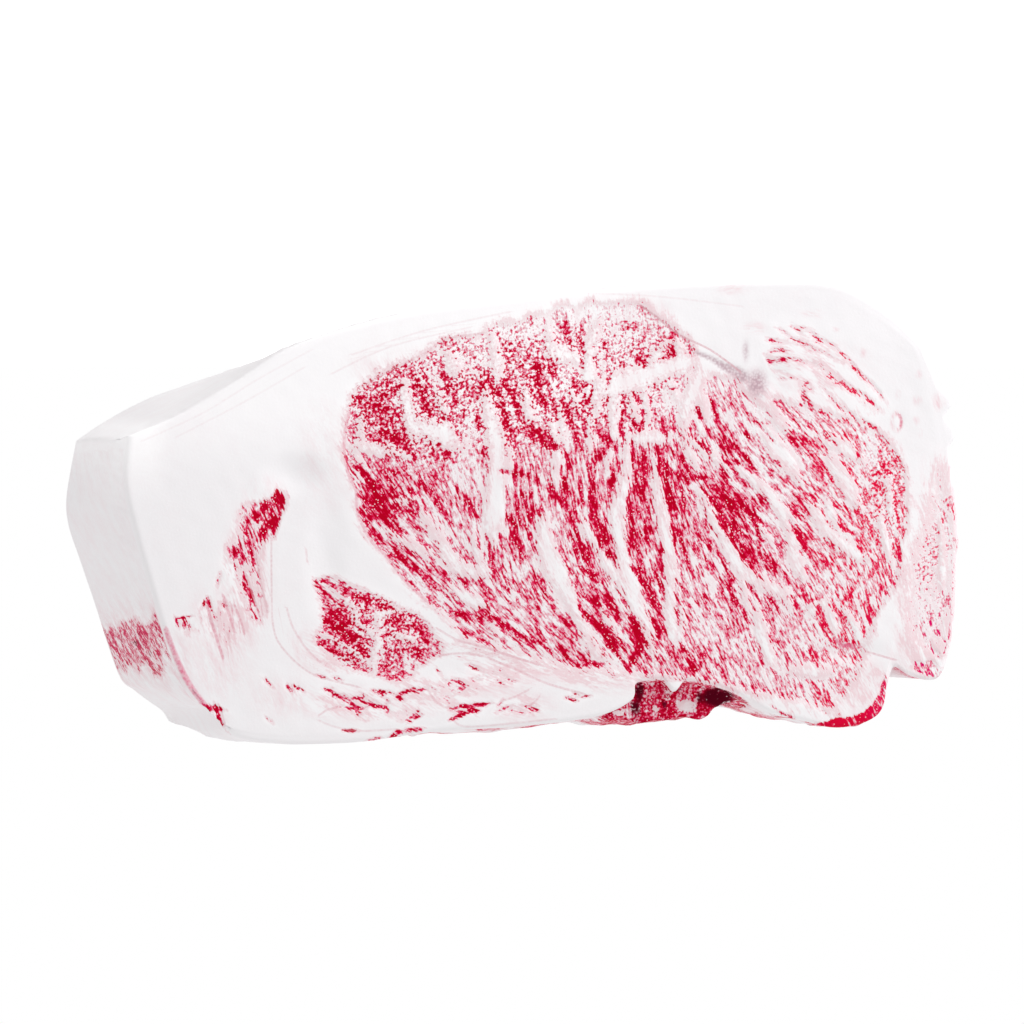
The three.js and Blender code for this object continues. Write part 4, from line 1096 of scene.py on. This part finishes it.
class SirloinLooks(bpy.types.PropertyGroup):
    fat: colour("Fat", "Colour of clean fat", (0.815, 0.795, 0.81))
    # painted light: the colour that fat high on the cap and at the top of the trimmed end is
    # brightened to, and also the whiter fat near the lean
    white_and_lit_fat: colour("White fat", "Colour of the whitest fat", (0.95, 0.935, 0.945))
    flushed_fat: colour("Flushed fat", "Colour of fat with a pink flush", (0.76, 0.55, 0.585))
    pale_lean: colour("Pale lean", "Colour of the palest lean", (0.735, 0.372, 0.438))
    lean: colour("Lean", "Colour of the middle of the lean", (0.69, 0.044, 0.138))
    deep_lean: colour("Deep lean", "Colour of deep red strands", (0.585, 0.0, 0.036))
    darkest_lean: colour("Darkest lean", "Colour of the darkest strands", (0.44, 0.0, 0.014))
    bright_lean: colour(
        "Bright lean", "Colour that the lean on the rib side tends to", (0.78, 0.004, 0.05)
    )
    violet_lean: colour("Violet lean", "Colour of the lean low on the rib side", (0.68, 0.0, 0.14))
    # dark red of blood, also painted into the hollow as its shade
    blood_and_painted_shade: colour("Blood", "Colour of the wet, dark red of the hollow", (0.09, 0.0, 0.008))
    gristle: colour("Gristle", "Colour of the gristle", (0.48, 0.335, 0.378))
    pale_line: colour("Pale line", "Colour of membranes and creases", (0.62, 0.38, 0.41))
    red_line: colour("Red line", "Colour of the reddest fine lines", (0.72, 0.07, 0.2))
    glint: colour("Glint", "Colour of the wet glints on the lean", (0.9, 0.86, 0.88))
    roughness: FloatProperty(
        name="Roughness", description="Roughness of the moist surface", default=0.46, min=0, max=1
    )


class SirloinStudio(bpy.types.PropertyGroup):
    camera_distance: in_metres("Camera distance", "From the block's middle to the camera", 1.3)
    camera_turn: in_degrees(
        "Camera turn", "How far the camera stands round to the right of the front cut", -16
    )
    camera_lift: in_degrees("Camera lift", "How far the camera stands above the horizon", 3)
    aim_height: in_metres("Aim height", "Height that the camera looks at", 0.0648)
    lens: FloatProperty(
        name="Lens", description="Focal length of the camera", default=150.34, min=1, unit="CAMERA"
    )
    dome: FloatProperty(
        name="Dome light", description="Strength of the white surroundings", default=0.75, min=0
    )
    key: in_watts("Key light", "Power of the lamp above, on the rib side", 9.5)
    fill: in_watts("Fill light", "Power of the lamp above the trimmed end", 2.0)
    floor: colour("Floor", "Colour that the lit floor glows in", (1.0, 1.0, 1.0))


# ---- Mesh of the block ------------------------------------------------------------------


def loop_shares(columns, rows):
    """Shares across and up of the points round a cut face: along the underside, up the
    rib side, back along the fat cap and down the trimmed end."""
    a = np.arange(columns) / columns
    b = np.arange(rows) / rows
    across = np.concatenate([a, np.ones(rows), 1 - a, np.zeros(rows)])
    up = np.concatenate([np.zeros(columns), b, np.ones(columns), 1 - b])
    return across, up


def loop_indices(lattice):
    """Indices of the points round a lattice of them, in the order of loop_shares."""
    underside, rib_side = lattice[0, :-1], lattice[:-1, -1]
    fat_cap, trimmed_end = lattice[-1, :0:-1], lattice[:0:-1, 0]
    return np.concatenate([underside, rib_side, fat_cap, trimmed_end])


def ring_stations():
    """Depth and share of the cut edge's inset of each ring of points between the cuts,
    with a quarter circle at each cut edge. First those with all points, then the rest."""
    turns = np.radians(EDGE_STEPS)
    edge = list(zip(CUT_EDGE * (1 - np.cos(turns)), 1 - np.sin(turns)))
    fine = edge + [(depth, 0.0) for depth in FRONT_RINGS]
    coarse = [(depth, 0.0) for depth in BACK_RINGS]
    coarse += [(THICKNESS - depth, inset) for depth, inset in reversed(edge)]
    return fine, coarse


def in_rect(rect, u, v):
    """A point of the unit square, moved into a rectangle."""
    u, v = np.broadcast_arrays(u, v)
    return np.stack([rect[0] + (rect[2] - rect[0]) * u, rect[1] + (rect[3] - rect[1]) * v], -1)


class BlockMesh:
    """Gathers points with their shares, and faces with their UVs."""

    def __init__(self, columns, rows):
        self.columns, self.rows = columns, rows
        self.parts = []
        self.count = 0
        self.faces = []
        self.uvs = []

    def add_points(self, across, up, depth, inset):
        """Adds points and returns their indices in the same layout."""
        across, up, depth, inset = np.broadcast_arrays(across, up, depth, inset)
        self.parts.append([a.ravel().astype(float) for a in (across, up, depth, inset)])
        indices = self.count + np.arange(across.size).reshape(across.shape)
        self.count += across.size
        return indices

    def add_faces(self, corners, uvs):
        """Adds faces of n corners each: arrays (faces, n) and (faces, n, 2)."""
        self.faces.append(corners)
        self.uvs.append(uvs)

    def add_cut(self, columns, rows, depth, rect, flip):
        """A cut face as a grid of quads over the unit square of shares."""
        across, up = np.meshgrid(np.arange(columns + 1) / columns, np.arange(rows + 1) / rows)
        grid = self.add_points(across, up, depth, 1.0)
        uv = in_rect(rect, across, up)
        order = [(0, 0), (0, 1), (1, 1), (1, 0)]
        if flip:
            order.reverse()
        pick = [(slice(j, rows + j), slice(i, columns + i)) for j, i in order]
        self.add_faces(
            np.stack([grid[p].ravel() for p in pick], -1),
            np.stack([uv[p].reshape(-1, 2) for p in pick], 1),
        )
        return grid

    def side_uv(self, point, depth, count):
        """UV of ring points: the side's rectangle, along the ring and across the depth.
        A face's corners are given together, so that it stays on its first corner's side."""
        ends = np.cumsum([0, self.columns, self.rows, self.columns, self.rows]) * count
        ends = ends / (2 * (self.columns + self.rows))
        side = np.searchsorted(ends, point[:, :1] + 0.25, side="right") - 1
        uv = np.zeros(point.shape + (2,))
        for k, rect in enumerate(UV_SIDES):
            run = (point - ends[k]) / (ends[k + 1] - ends[k])
            uv = np.where((side == k)[..., None], in_rect(rect, run, depth / THICKNESS), uv)
        return uv

    def add_strip(self, ring, next_ring, depth, next_depth):
        """Quads between two rings of as many points."""
        n = len(ring)
        p = np.arange(n)
        q = (p + 1) % n
        corners = np.stack([ring[p], next_ring[p], next_ring[q], ring[q]], -1)
        places = np.stack([p, p, p + 1, p + 1], -1)
        depths = np.array([depth, next_depth, next_depth, depth])[None, :]
        self.add_faces(corners, self.side_uv(places, depths, n))

    def add_thinning_strip(self, ring, next_ring, depth, next_depth):
        """Triangles from a ring to one with half as many points: three for each pair."""
        n = len(ring)
        first, middle, last = (np.arange(0, n, 2) + k for k in range(3))
        q = np.arange(n // 2)
        near = [ring[first], ring[middle], ring[last % n]]
        far = [next_ring[q], next_ring[(q + 1) % (n // 2)]]
        for corners, places, depths in (
            ((near[0], far[0], near[1]), (first, first, middle), (depth, next_depth, depth)),
            ((near[1], far[0], far[1]), (middle, first, last), (depth, next_depth, next_depth)),
            ((near[1], far[1], near[2]), (middle, last, last), (depth, next_depth, depth)),
        ):
            uv = self.side_uv(np.stack(places, -1), np.array(depths)[None, :], n)
            self.add_faces(np.stack(corners, -1), uv)

    def shares(self):
        """All points' shares across and up, depths and insets."""
        return (np.concatenate(column) for column in zip(*self.parts))


def block_mesh(columns, rows):
    """The closed surface of the block: both cuts and the rings between them."""
    mesh = BlockMesh(columns, rows)
    fine, coarse = ring_stations()
    front = mesh.add_cut(columns, rows, 0.0, UV_FRONT, False)
    ring, depth = loop_indices(front), 0.0
    across, up = loop_shares(columns, rows)
    for next_depth, inset in fine:
        next_ring = mesh.add_points(across, up, next_depth, inset)
        mesh.add_strip(ring, next_ring, depth, next_depth)
        ring, depth = next_ring, next_depth
    across, up = loop_shares(columns // 2, rows // 2)
    strip = mesh.add_thinning_strip
    for next_depth, inset in coarse:
        next_ring = mesh.add_points(across, up, next_depth, inset)
        strip(ring, next_ring, depth, next_depth)
        ring, depth, strip = next_ring, next_depth, mesh.add_strip
    back = mesh.add_cut(columns // 2, rows // 2, THICKNESS, UV_BACK, True)
    mesh.add_strip(ring, loop_indices(back), depth, THICKNESS)
    return mesh


def dressed_surface(settings, mesh):
    """Points of the block in millimetres with all their relief, and the fields there."""
    across, up, depth, inset = mesh.shares()
    x, y, z, on_cut = place(across, up, depth, inset)
    towards_back = outward(depth / THICKNESS)
    inward = smooth(0, FADE, from_rim(across, up))
    front_form = knife_waves(x, z) + ellipses(FACE_FORMS, x, z)
    form = np.where(depth == 0, front_form, knife_waves(x + BACK_WAVES, z))
    y = y + towards_back * form * inward
    fields = block_fields(x, z, across, up, depth, on_cut)
    out, side = relief(settings, fields, x, y, z, across, up, depth)
    x = x + side * outward(across)
    y = y + out * towards_back
    z = z + side * outward(up)
    return np.stack([x, y, np.where(up == 0, np.maximum(z, 0), z)], -1), fields


def fitted(points):
    """Points in metres, stretched by a hair so that their box is the solid's."""
    low, high = (np.array(corner) / MM for corner in SOLID_BOX)
    share = (points - points.min(0)) / (points.max(0) - points.min(0))
    return (low + share * (high - low)) * MM


# ---- Node helpers -----------------------------------------------------------------------


class Signal:
    """A node's output socket that adds Math nodes when it is calculated with."""

    def __init__(self, graph, socket):
        self.graph, self.socket = graph, socket

    def _math(self, operation, *values):
        return self.graph.add("ShaderNodeMath", {"operation": operation}, dict(enumerate(values)))

    def __add__(self, other):
        return self._math("ADD", self, other)

    def __sub__(self, other):
        return self._math("SUBTRACT", self, other)

    def __rsub__(self, other):
        return self._math("SUBTRACT", other, self)

    def __mul__(self, other):
        return self._math("MULTIPLY", self, other)

    def __truediv__(self, other):
        return self._math("DIVIDE", self, other)

    def __pow__(self, other):
        return self._math("POWER", self, other)

    __radd__ = __add__
    __rmul__ = __mul__

    def whole(self):
        return self._math("FLOOR", self)

    def sine(self):
        return self._math("SINE", self)

    def cosine(self):
        return self._math("COSINE", self)

    def within(self, low, high):
        return self._math("MINIMUM", self._math("MAXIMUM", self, low), high)

    def at_most(self, other):
        return self._math("MINIMUM", self, other)


class Graph:
    """Adds nodes to a material's or world's tree."""

    def __init__(self, tree):
        self.tree = tree
        tree.nodes.clear()

    def add(self, kind, settings=None, inputs=None, output=0):
        """Adds a node of a type, makes its settings, then sets or links its inputs."""
        node = self.tree.nodes.new(kind)
        for name, value in (settings or {}).items():
            if name == "stops":
                self._set_stops(node.color_ramp, value)
            else:
                setattr(node, name, value)
        for name, value in (inputs or {}).items():
            socket = node.inputs[name]
            if isinstance(value, Signal):
                self.tree.links.new(value.socket, socket)
            else:
                socket.default_value = value
        return Signal(self, node.outputs[output]) if node.outputs else node

    @staticmethod
    def _set_stops(ramp, stops):
        while len(ramp.elements) < len(stops):
            ramp.elements.new(1.0)
        for element, (position, stop_colour) in zip(ramp.elements, stops):
            element.position = position
            element.color = (*stop_colour, 1.0)

    def parts(self, vector):
        """The three parts of a vector."""
        node = self.add("ShaderNodeSeparateXYZ", None, {0: vector}).socket.node
        return [Signal(self, out) for out in node.outputs]

    def vector(self, x, y, z):
        return self.add("ShaderNodeCombineXYZ", None, {0: x, 1: y, 2: z})

    def attribute(self, name):
        return self.parts(self.add("ShaderNodeAttribute", {"attribute_name": name}, None, "Vector"))

    def noise(self, vector, detail):
        """Noise whose height is about 1 either way."""
        inputs = {"Vector": vector, "Scale": 1.0, "Detail": detail, "Roughness": 0.5}
        return (self.add("ShaderNodeTexNoise", None, inputs, "Fac") - 0.5) * 8.0

    def cells(self, vector):
        """Distance to the nearest of scattered points."""
        inputs = {"Vector": vector, "Scale": 1.0, "Randomness": 1.0}
        return self.add("ShaderNodeTexVoronoi", {"feature": "F1"}, inputs, "Distance")

    def ease(self, value, low, high):
        """Smooth rise from 0 at low to 1 at high, either of which may be the greater."""
        return self.add(
            "ShaderNodeMapRange",
            {"interpolation_type": "SMOOTHSTEP"},
            {"Value": value, "From Min": low, "From Max": high},
        )

    def mix(self, factor, a, b):
        """Colour a where factor is 0 and b where it is 1."""
        a, b = (value if isinstance(value, Signal) else (*value, 1.0) for value in (a, b))
        return self.add("ShaderNodeMix", {"data_type": "RGBA"}, {0: factor, 6: a, 7: b}, 2)


# ---- Material ---------------------------------------------------------------------------

# Noise drawn out along the fibres: width and length of its features, seed and detail.
BUNDLES = (3.2, 15.0, 1.0, 1.0)
THREADS = (2.2, 11.0, 5.0, 1.0)
HAIRS = (0.55, 2.4, 9.0, 2.0)
# Even noise: size of its grains, seed and detail.
CLUMPS = (7.5, 50.0, 1.0)
CURLS = (2.6, 41.25, 3.0)
CRUMBS = (0.8, 3.0, 2.0)
CLOTS = (6.0, 60.0, 2.0)
BLOTCHES = (16.0, 20.0, 2.0)
SPOTS = (3.5, 30.0, 2.0)

FAN_STEP = 10.0  # degrees between the directions that drawn-out noise is made in
FAN_SHIFT = 7.31  # how far apart the noise of two directions is taken

# Where looks change across the block: from where, and to where they have changed.
# The first two pairs are painted light: fat high on the cap and at the top of the trimmed end is
# painted brighter, as if lit from above.
CAP_PAINTED_LIGHT_X, CAP_PAINTED_LIGHT_Z = (70.0, -10.0), (76.0, 100.0)
END_PAINTED_LIGHT_X, END_PAINTED_LIGHT_Z = (-112.0, -121.0), (66.0, 88.0)
BRIGHTENS_X = (66.0, 96.0)
RIB_TURNS_VIOLET_X, RIB_TURNS_VIOLET_Z = (96.0, 122.0), (60.0, 25.0)
END_TURNS_VIOLET_X = (-108.0, -118.0)


def fibre_noise(g, a, b, degrees):
    """Returns a function for noise drawn out along the fibres. It blends noise in the two
    nearest of a fan of directions, so that its height stays even."""
    first = (degrees / FAN_STEP).whole()
    share = degrees / FAN_STEP - first
    evenness = ((1 - share) ** 2 + share**2) ** 0.5
    frames = []
    for number in (first, first + 1):
        turn = number * math.radians(FAN_STEP)
        sine, cosine = turn.sine(), turn.cosine()
        frames.append((a * sine + b * cosine, a * cosine - b * sine, number * FAN_SHIFT))

    def streaks(width, length, seed, detail):
        low, high = (
            g.noise(g.vector(across / width, lengthwise / length, number + seed), detail)
            for across, lengthwise, number in frames
        )
        return (low * (1 - share) + high * share) / evenness

    return streaks


def marbled_beef(looks):
    """Raw flesh: lean whose red breaks up along the fibres into fat, by noise drawn out
    along them, with specks in the granular muscles; flushed fat, blood with painted shade
    in the hollow, gristle and fine lines; painted light on the upper fat and painted glints
    on the lean."""
    material = bpy.data.materials.new("marbled_beef")
    material.use_nodes = True
    g = Graph(material.node_tree)
    lean, rich, granular = g.attribute("meat")
    flush, blood_and_painted_shade, gristle = g.attribute("stain")
    line_across, line_strength, line_red = g.attribute("line")
    streaks = fibre_noise(g, *g.attribute("grain"))
    place_mm = g.add(
        "ShaderNodeVectorMath",
        {"operation": "SCALE"},
        {0: g.add("ShaderNodeTexCoord", None, None, "Object"), "Scale": 1.0 / MM},
    )
    px, py, pz = g.parts(place_mm)

    def grains(size, seed, detail):
        """Even noise with grains of a size in millimetres."""
        return g.noise(g.vector(px / size, pz / size, py / size + seed), detail)

    def ridge(value):
        """Turns noise into thin ridges where it is near 0."""
        return 0.55 - (value * value).at_most(1.6)

    # how far each spot lies in the flesh, how red it is, and both of them in one amount
    streaky = 1 - granular
    bundles, hairs, crumbs = streaks(*BUNDLES), streaks(*HAIRS), grains(*CRUMBS)
    fine = ridge(streaks(*THREADS)) * (streaky * 0.2 + 0.02) + hairs * (streaky * 0.17 + 0.03)
    fine = fine + crumbs * (granular * 0.2 + 0.08)
    fine = fine + ridge(grains(*CURLS)) * (granular * 0.27 + 0.03)
    patches = bundles * (streaky * 0.5 + 0.1) + grains(*CLUMPS) * (granular * 0.42)
    edge = lean + (rich - 0.5) * 2.0 + patches + fine * 2.6
    flesh = g.ease(edge, -0.9, 1.0)
    specks = g.cells(g.vector(px * 1.05, pz * 0.95, py))
    tone = rich + patches * 0.12 + fine * 1.15
    tone = tone - g.ease(specks, 0.34, 0.16) * g.ease(tone, 0.45, 0.8) * (0.35 - blood_and_painted_shade * 0.35)
    amount = (tone - (1 - flesh) * (0.62 - lean * 0.14)).within(0.0, 1.0)
    stops = [
        (0.06, looks.fat),
        (0.46, looks.pale_lean),
        (0.63, looks.lean),
        (0.76, looks.deep_lean),
        (0.94, looks.darkest_lean),
    ]
    base = g.add("ShaderNodeValToRGB", {"stops": stops}, {"Fac": amount}, "Color")

    # whiter fat near the lean, painted light that brightens the fat high on the cap and at the
    # top of the trimmed end, and wet glints (painted highlights) on the lean
    white = g.ease(pz, *CAP_PAINTED_LIGHT_Z) * g.ease(px, *CAP_PAINTED_LIGHT_X) * 0.55
    white = white + g.ease(lean, -5.0, -1.0) * 0.15
    white = white + g.ease(px, *END_PAINTED_LIGHT_X) * g.ease(pz, *END_PAINTED_LIGHT_Z) * 0.6
    base = g.mix(white.at_most(1.0) * g.ease(amount, 0.35, 0.1), base, looks.white_and_lit_fat)
    glints = g.ease(specks, 0.2, 0.12) * g.ease(tone, 0.3, 0.6) * (0.8 - blood_and_painted_shade * 0.8)
    base = g.mix(glints, base, looks.glint)

    # brighter and more violet lean on the rib side and the trimmed end
    vivid = g.ease(px, *BRIGHTENS_X) * g.ease(amount, 0.35, 0.7) * 0.55
    base = g.mix(vivid, base, looks.bright_lean)
    violet = g.ease(px, *RIB_TURNS_VIOLET_X) * g.ease(pz, *RIB_TURNS_VIOLET_Z)
    violet = violet + g.ease(px, *END_TURNS_VIOLET_X) * 0.45
    base = g.mix(violet * g.ease(amount, 0.3, 0.8), base, looks.violet_lean)

    # pink fat, most of all along the edges of the lean
    mottle = grains(*BLOTCHES) * 0.5 + grains(*SPOTS) * 0.25
    tint = flush * (1 + bundles * 0.6 + hairs * 0.5) + mottle * 0.05 + crumbs * 0.02
    tint = (tint + g.ease(edge, -2.1, -0.6) * 0.65).within(0.0, 1.0) * (1 - flesh) * 0.8
    base = g.mix(tint, base, looks.flushed_fat)

    # gristle, fine lines, and blood with painted shade in the hollow
    dots = g.ease(g.cells(g.vector(px * 1.3, pz * 1.3, py)), 0.25, 0.75)
    base = g.mix(gristle * (0.55 + dots * 0.45), base, looks.gristle)
    reach = line_red * line_red * 1.1 + 0.16
    line = line_strength * g.ease(line_across * line_across, reach, 0.0) * (0.75 + crumbs * 0.2)
    base = g.mix(line.at_most(1.0), base, g.mix(line_red, looks.pale_line, looks.red_line))
    shown_blood_and_shade = blood_and_painted_shade * g.ease(blood_and_painted_shade * 3 + grains(*CLOTS) + crumbs * 0.5, 0.6, 2.2)
    base = g.mix(shown_blood_and_shade * (g.ease(amount, 0.15, 0.5) * 0.75 + 0.25), base, looks.blood_and_painted_shade)

    height = amount * -0.5 + crumbs * (flesh * 0.05 + 0.02) + mottle * 0.05
    normal = g.add("ShaderNodeBump", None, {"Height": height, "Strength": 0.4, "Distance": 0.0005})
    shader = g.add(
        "ShaderNodeBsdfPrincipled",
        None,
        {
            "Base Color": base,
            "Roughness": amount * -0.08 + looks.roughness,
            "Normal": normal,
            "Specular IOR Level": 0.015,
        },
    )
    g.add("ShaderNodeOutputMaterial", None, {"Surface": shader})
    return material


# ---- Operators --------------------------------------------------------------------------


class SIRLOIN_OT_block(bpy.types.Operator):
    """Make the block of sirloin in place of its solid"""

    bl_idname = "sirloin.make_block"
    bl_label = "Make Block"

    def execute(self, context):
        shape, looks = context.scene.sirloin_shape, context.scene.sirloin_looks
        mesh = block_mesh(shape.columns, shape.rows)
        points, fields = dressed_surface(shape, mesh)

        data = bpy.data.meshes.new("sirloin_flesh")
        faces = [face for block in mesh.faces for face in block.tolist()]
        data.from_pydata(fitted(points).tolist(), [], faces)
        data.uv_layers.new(name="OFBake").data.foreach_set(
            "uv", np.concatenate([block.reshape(-1) for block in mesh.uvs])
        )
        for name, values in zip(("meat", "stain", "grain", "line"), fields):
            layer = data.attributes.new(name, "FLOAT_VECTOR", "POINT")
            layer.data.foreach_set("vector", values.astype(np.float32).ravel())
        data.polygons.foreach_set("use_smooth", [True] * len(data.polygons))
        data.materials.append(marbled_beef(looks))
        data.validate()
        data.update()
        piece = bpy.data.objects.new("sirloin_flesh", data)
        context.scene.collection.objects.link(piece)
        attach(piece, "root")
        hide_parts("sirloin")
        return {"FINISHED"}


class SIRLOIN_OT_studio(bpy.types.Operator):
    """Make the pale floor, the soft light and the camera"""

    bl_idname = "sirloin.make_studio"
    bl_label = "Make Studio"

    def execute(self, context):
        scene = context.scene
        studio = scene.sirloin_studio
        self.make_floor(scene, studio)
        self.make_light(scene, studio)
        self.make_camera(scene, studio)
        scene.view_settings.view_transform = "Standard"
        return {"FINISHED"}

    def make_floor(self, scene, studio):
        """A disc just under the block, wide enough to fill the view."""
        radius, sides, drop = 6.0, 96, 0.0002
        turn = np.linspace(0, 2 * np.pi, sides, endpoint=False)
        rim = np.stack([radius * np.cos(turn), radius * np.sin(turn), np.full(sides, -drop)], -1)
        data = bpy.data.meshes.new("floor")
        data.from_pydata(rim.tolist(), [], [list(range(sides))])
        material = bpy.data.materials.new("floor")
        material.use_nodes = True
        g = Graph(material.node_tree)
        shader = g.add("ShaderNodeEmission", None, {"Color": (*studio.floor, 1.0), "Strength": 1.0})
        g.add("ShaderNodeOutputMaterial", None, {"Surface": shader})
        data.materials.append(material)
        floor = bpy.data.objects.new("floor", data)
        scene.collection.objects.link(floor)

    def make_light(self, scene, studio):
        """A white dome, brighter to the camera than to the meat and dimmer in its sheen,
        and two soft lamps."""
        to_camera, in_sheen = 1.4, 0.2
        world = bpy.data.worlds.new("studio")
        world.use_nodes = True
        g = Graph(world.node_tree)
        seen = g.add("ShaderNodeLightPath", None, None, "Is Camera Ray")
        glossy = Signal(g, seen.socket.node.outputs["Is Glossy Ray"])
        on_meat = (glossy * (in_sheen - 1.0) + 1.0) * studio.dome
        strength = seen * to_camera + (1 - seen) * on_meat
        dome = g.add("ShaderNodeBackground", None, {"Color": (1, 1, 1, 1), "Strength": strength})
        g.add("ShaderNodeOutputWorld", None, {"Surface": dome})
        scene.world = world

        self.add_lamp(scene, "key", studio.key, (0.69, -0.37, 0.8))
        self.add_lamp(scene, "fill", studio.fill, (-0.6, 0.45, 1.0))

    @staticmethod
    def add_lamp(scene, name, watts, location):
        """A soft square lamp aimed at the block's middle."""
        size, middle = 0.9, Vector((0.0, 0.0, 0.06))
        data = bpy.data.lights.new(name, "AREA")
        data.shape = "SQUARE"
        data.size = size
        data.energy = watts
        lamp = bpy.data.objects.new(name, data)
        lamp.location = location
        aim = middle - lamp.location
        lamp.rotation_mode = "QUATERNION"
        lamp.rotation_quaternion = aim.to_track_quat("-Z", "Y")
        scene.collection.objects.link(lamp)

    def make_camera(self, scene, studio):
        """Aims the camera at the block's middle from its turn, lift and distance."""
        data = bpy.data.cameras.new("camera")
        data.lens = studio.lens
        data.sensor_width = 36.0
        data.clip_start, data.clip_end = 0.05, 30.0
        camera = bpy.data.objects.new("camera", data)
        turn, lift = studio.camera_turn, studio.camera_lift
        back = Vector((
            math.sin(turn) * math.cos(lift), -math.cos(turn) * math.cos(lift), math.sin(lift)
        ))
        target = Vector((0.0, 0.0, studio.aim_height))
        camera.location = target + back * studio.camera_distance
        camera.rotation_mode = "QUATERNION"
        camera.rotation_quaternion = (-back).to_track_quat("-Z", "Y")
        scene.collection.objects.link(camera)
        scene.camera = camera


class SIRLOIN_PT_panel(bpy.types.Panel):
    bl_idname = "SIRLOIN_PT_panel"
    bl_label = "Sirloin"
    bl_space_type = "VIEW_3D"
    bl_region_type = "UI"
    bl_category = "Sirloin"

    def draw(self, context):
        scene = context.scene
        for settings, operator in (
            (scene.sirloin_shape, SIRLOIN_OT_block),
            (scene.sirloin_looks, None),
            (scene.sirloin_studio, SIRLOIN_OT_studio),
        ):
            box = self.layout.box()
            for name in settings.__annotations__:
                box.prop(settings, name)
            if operator:
                box.operator(operator.bl_idname)


CLASSES = (
    SirloinShape,
    SirloinLooks,
    SirloinStudio,
    SIRLOIN_OT_block,
    SIRLOIN_OT_studio,
    SIRLOIN_PT_panel,
)


def register():
    for cls in CLASSES:
        bpy.utils.register_class(cls)
    bpy.types.Scene.sirloin_shape = PointerProperty(type=SirloinShape)
    bpy.types.Scene.sirloin_looks = PointerProperty(type=SirloinLooks)
    bpy.types.Scene.sirloin_studio = PointerProperty(type=SirloinStudio)


def unregister():
    del bpy.types.Scene.sirloin_studio
    del bpy.types.Scene.sirloin_looks
    del bpy.types.Scene.sirloin_shape
    for cls in reversed(CLASSES):
        bpy.utils.unregister_class(cls)


def main():
    register()
    bpy.ops.sirloin.make_studio()
    bpy.ops.sirloin.make_block()


if __name__ == "__main__":
    main()
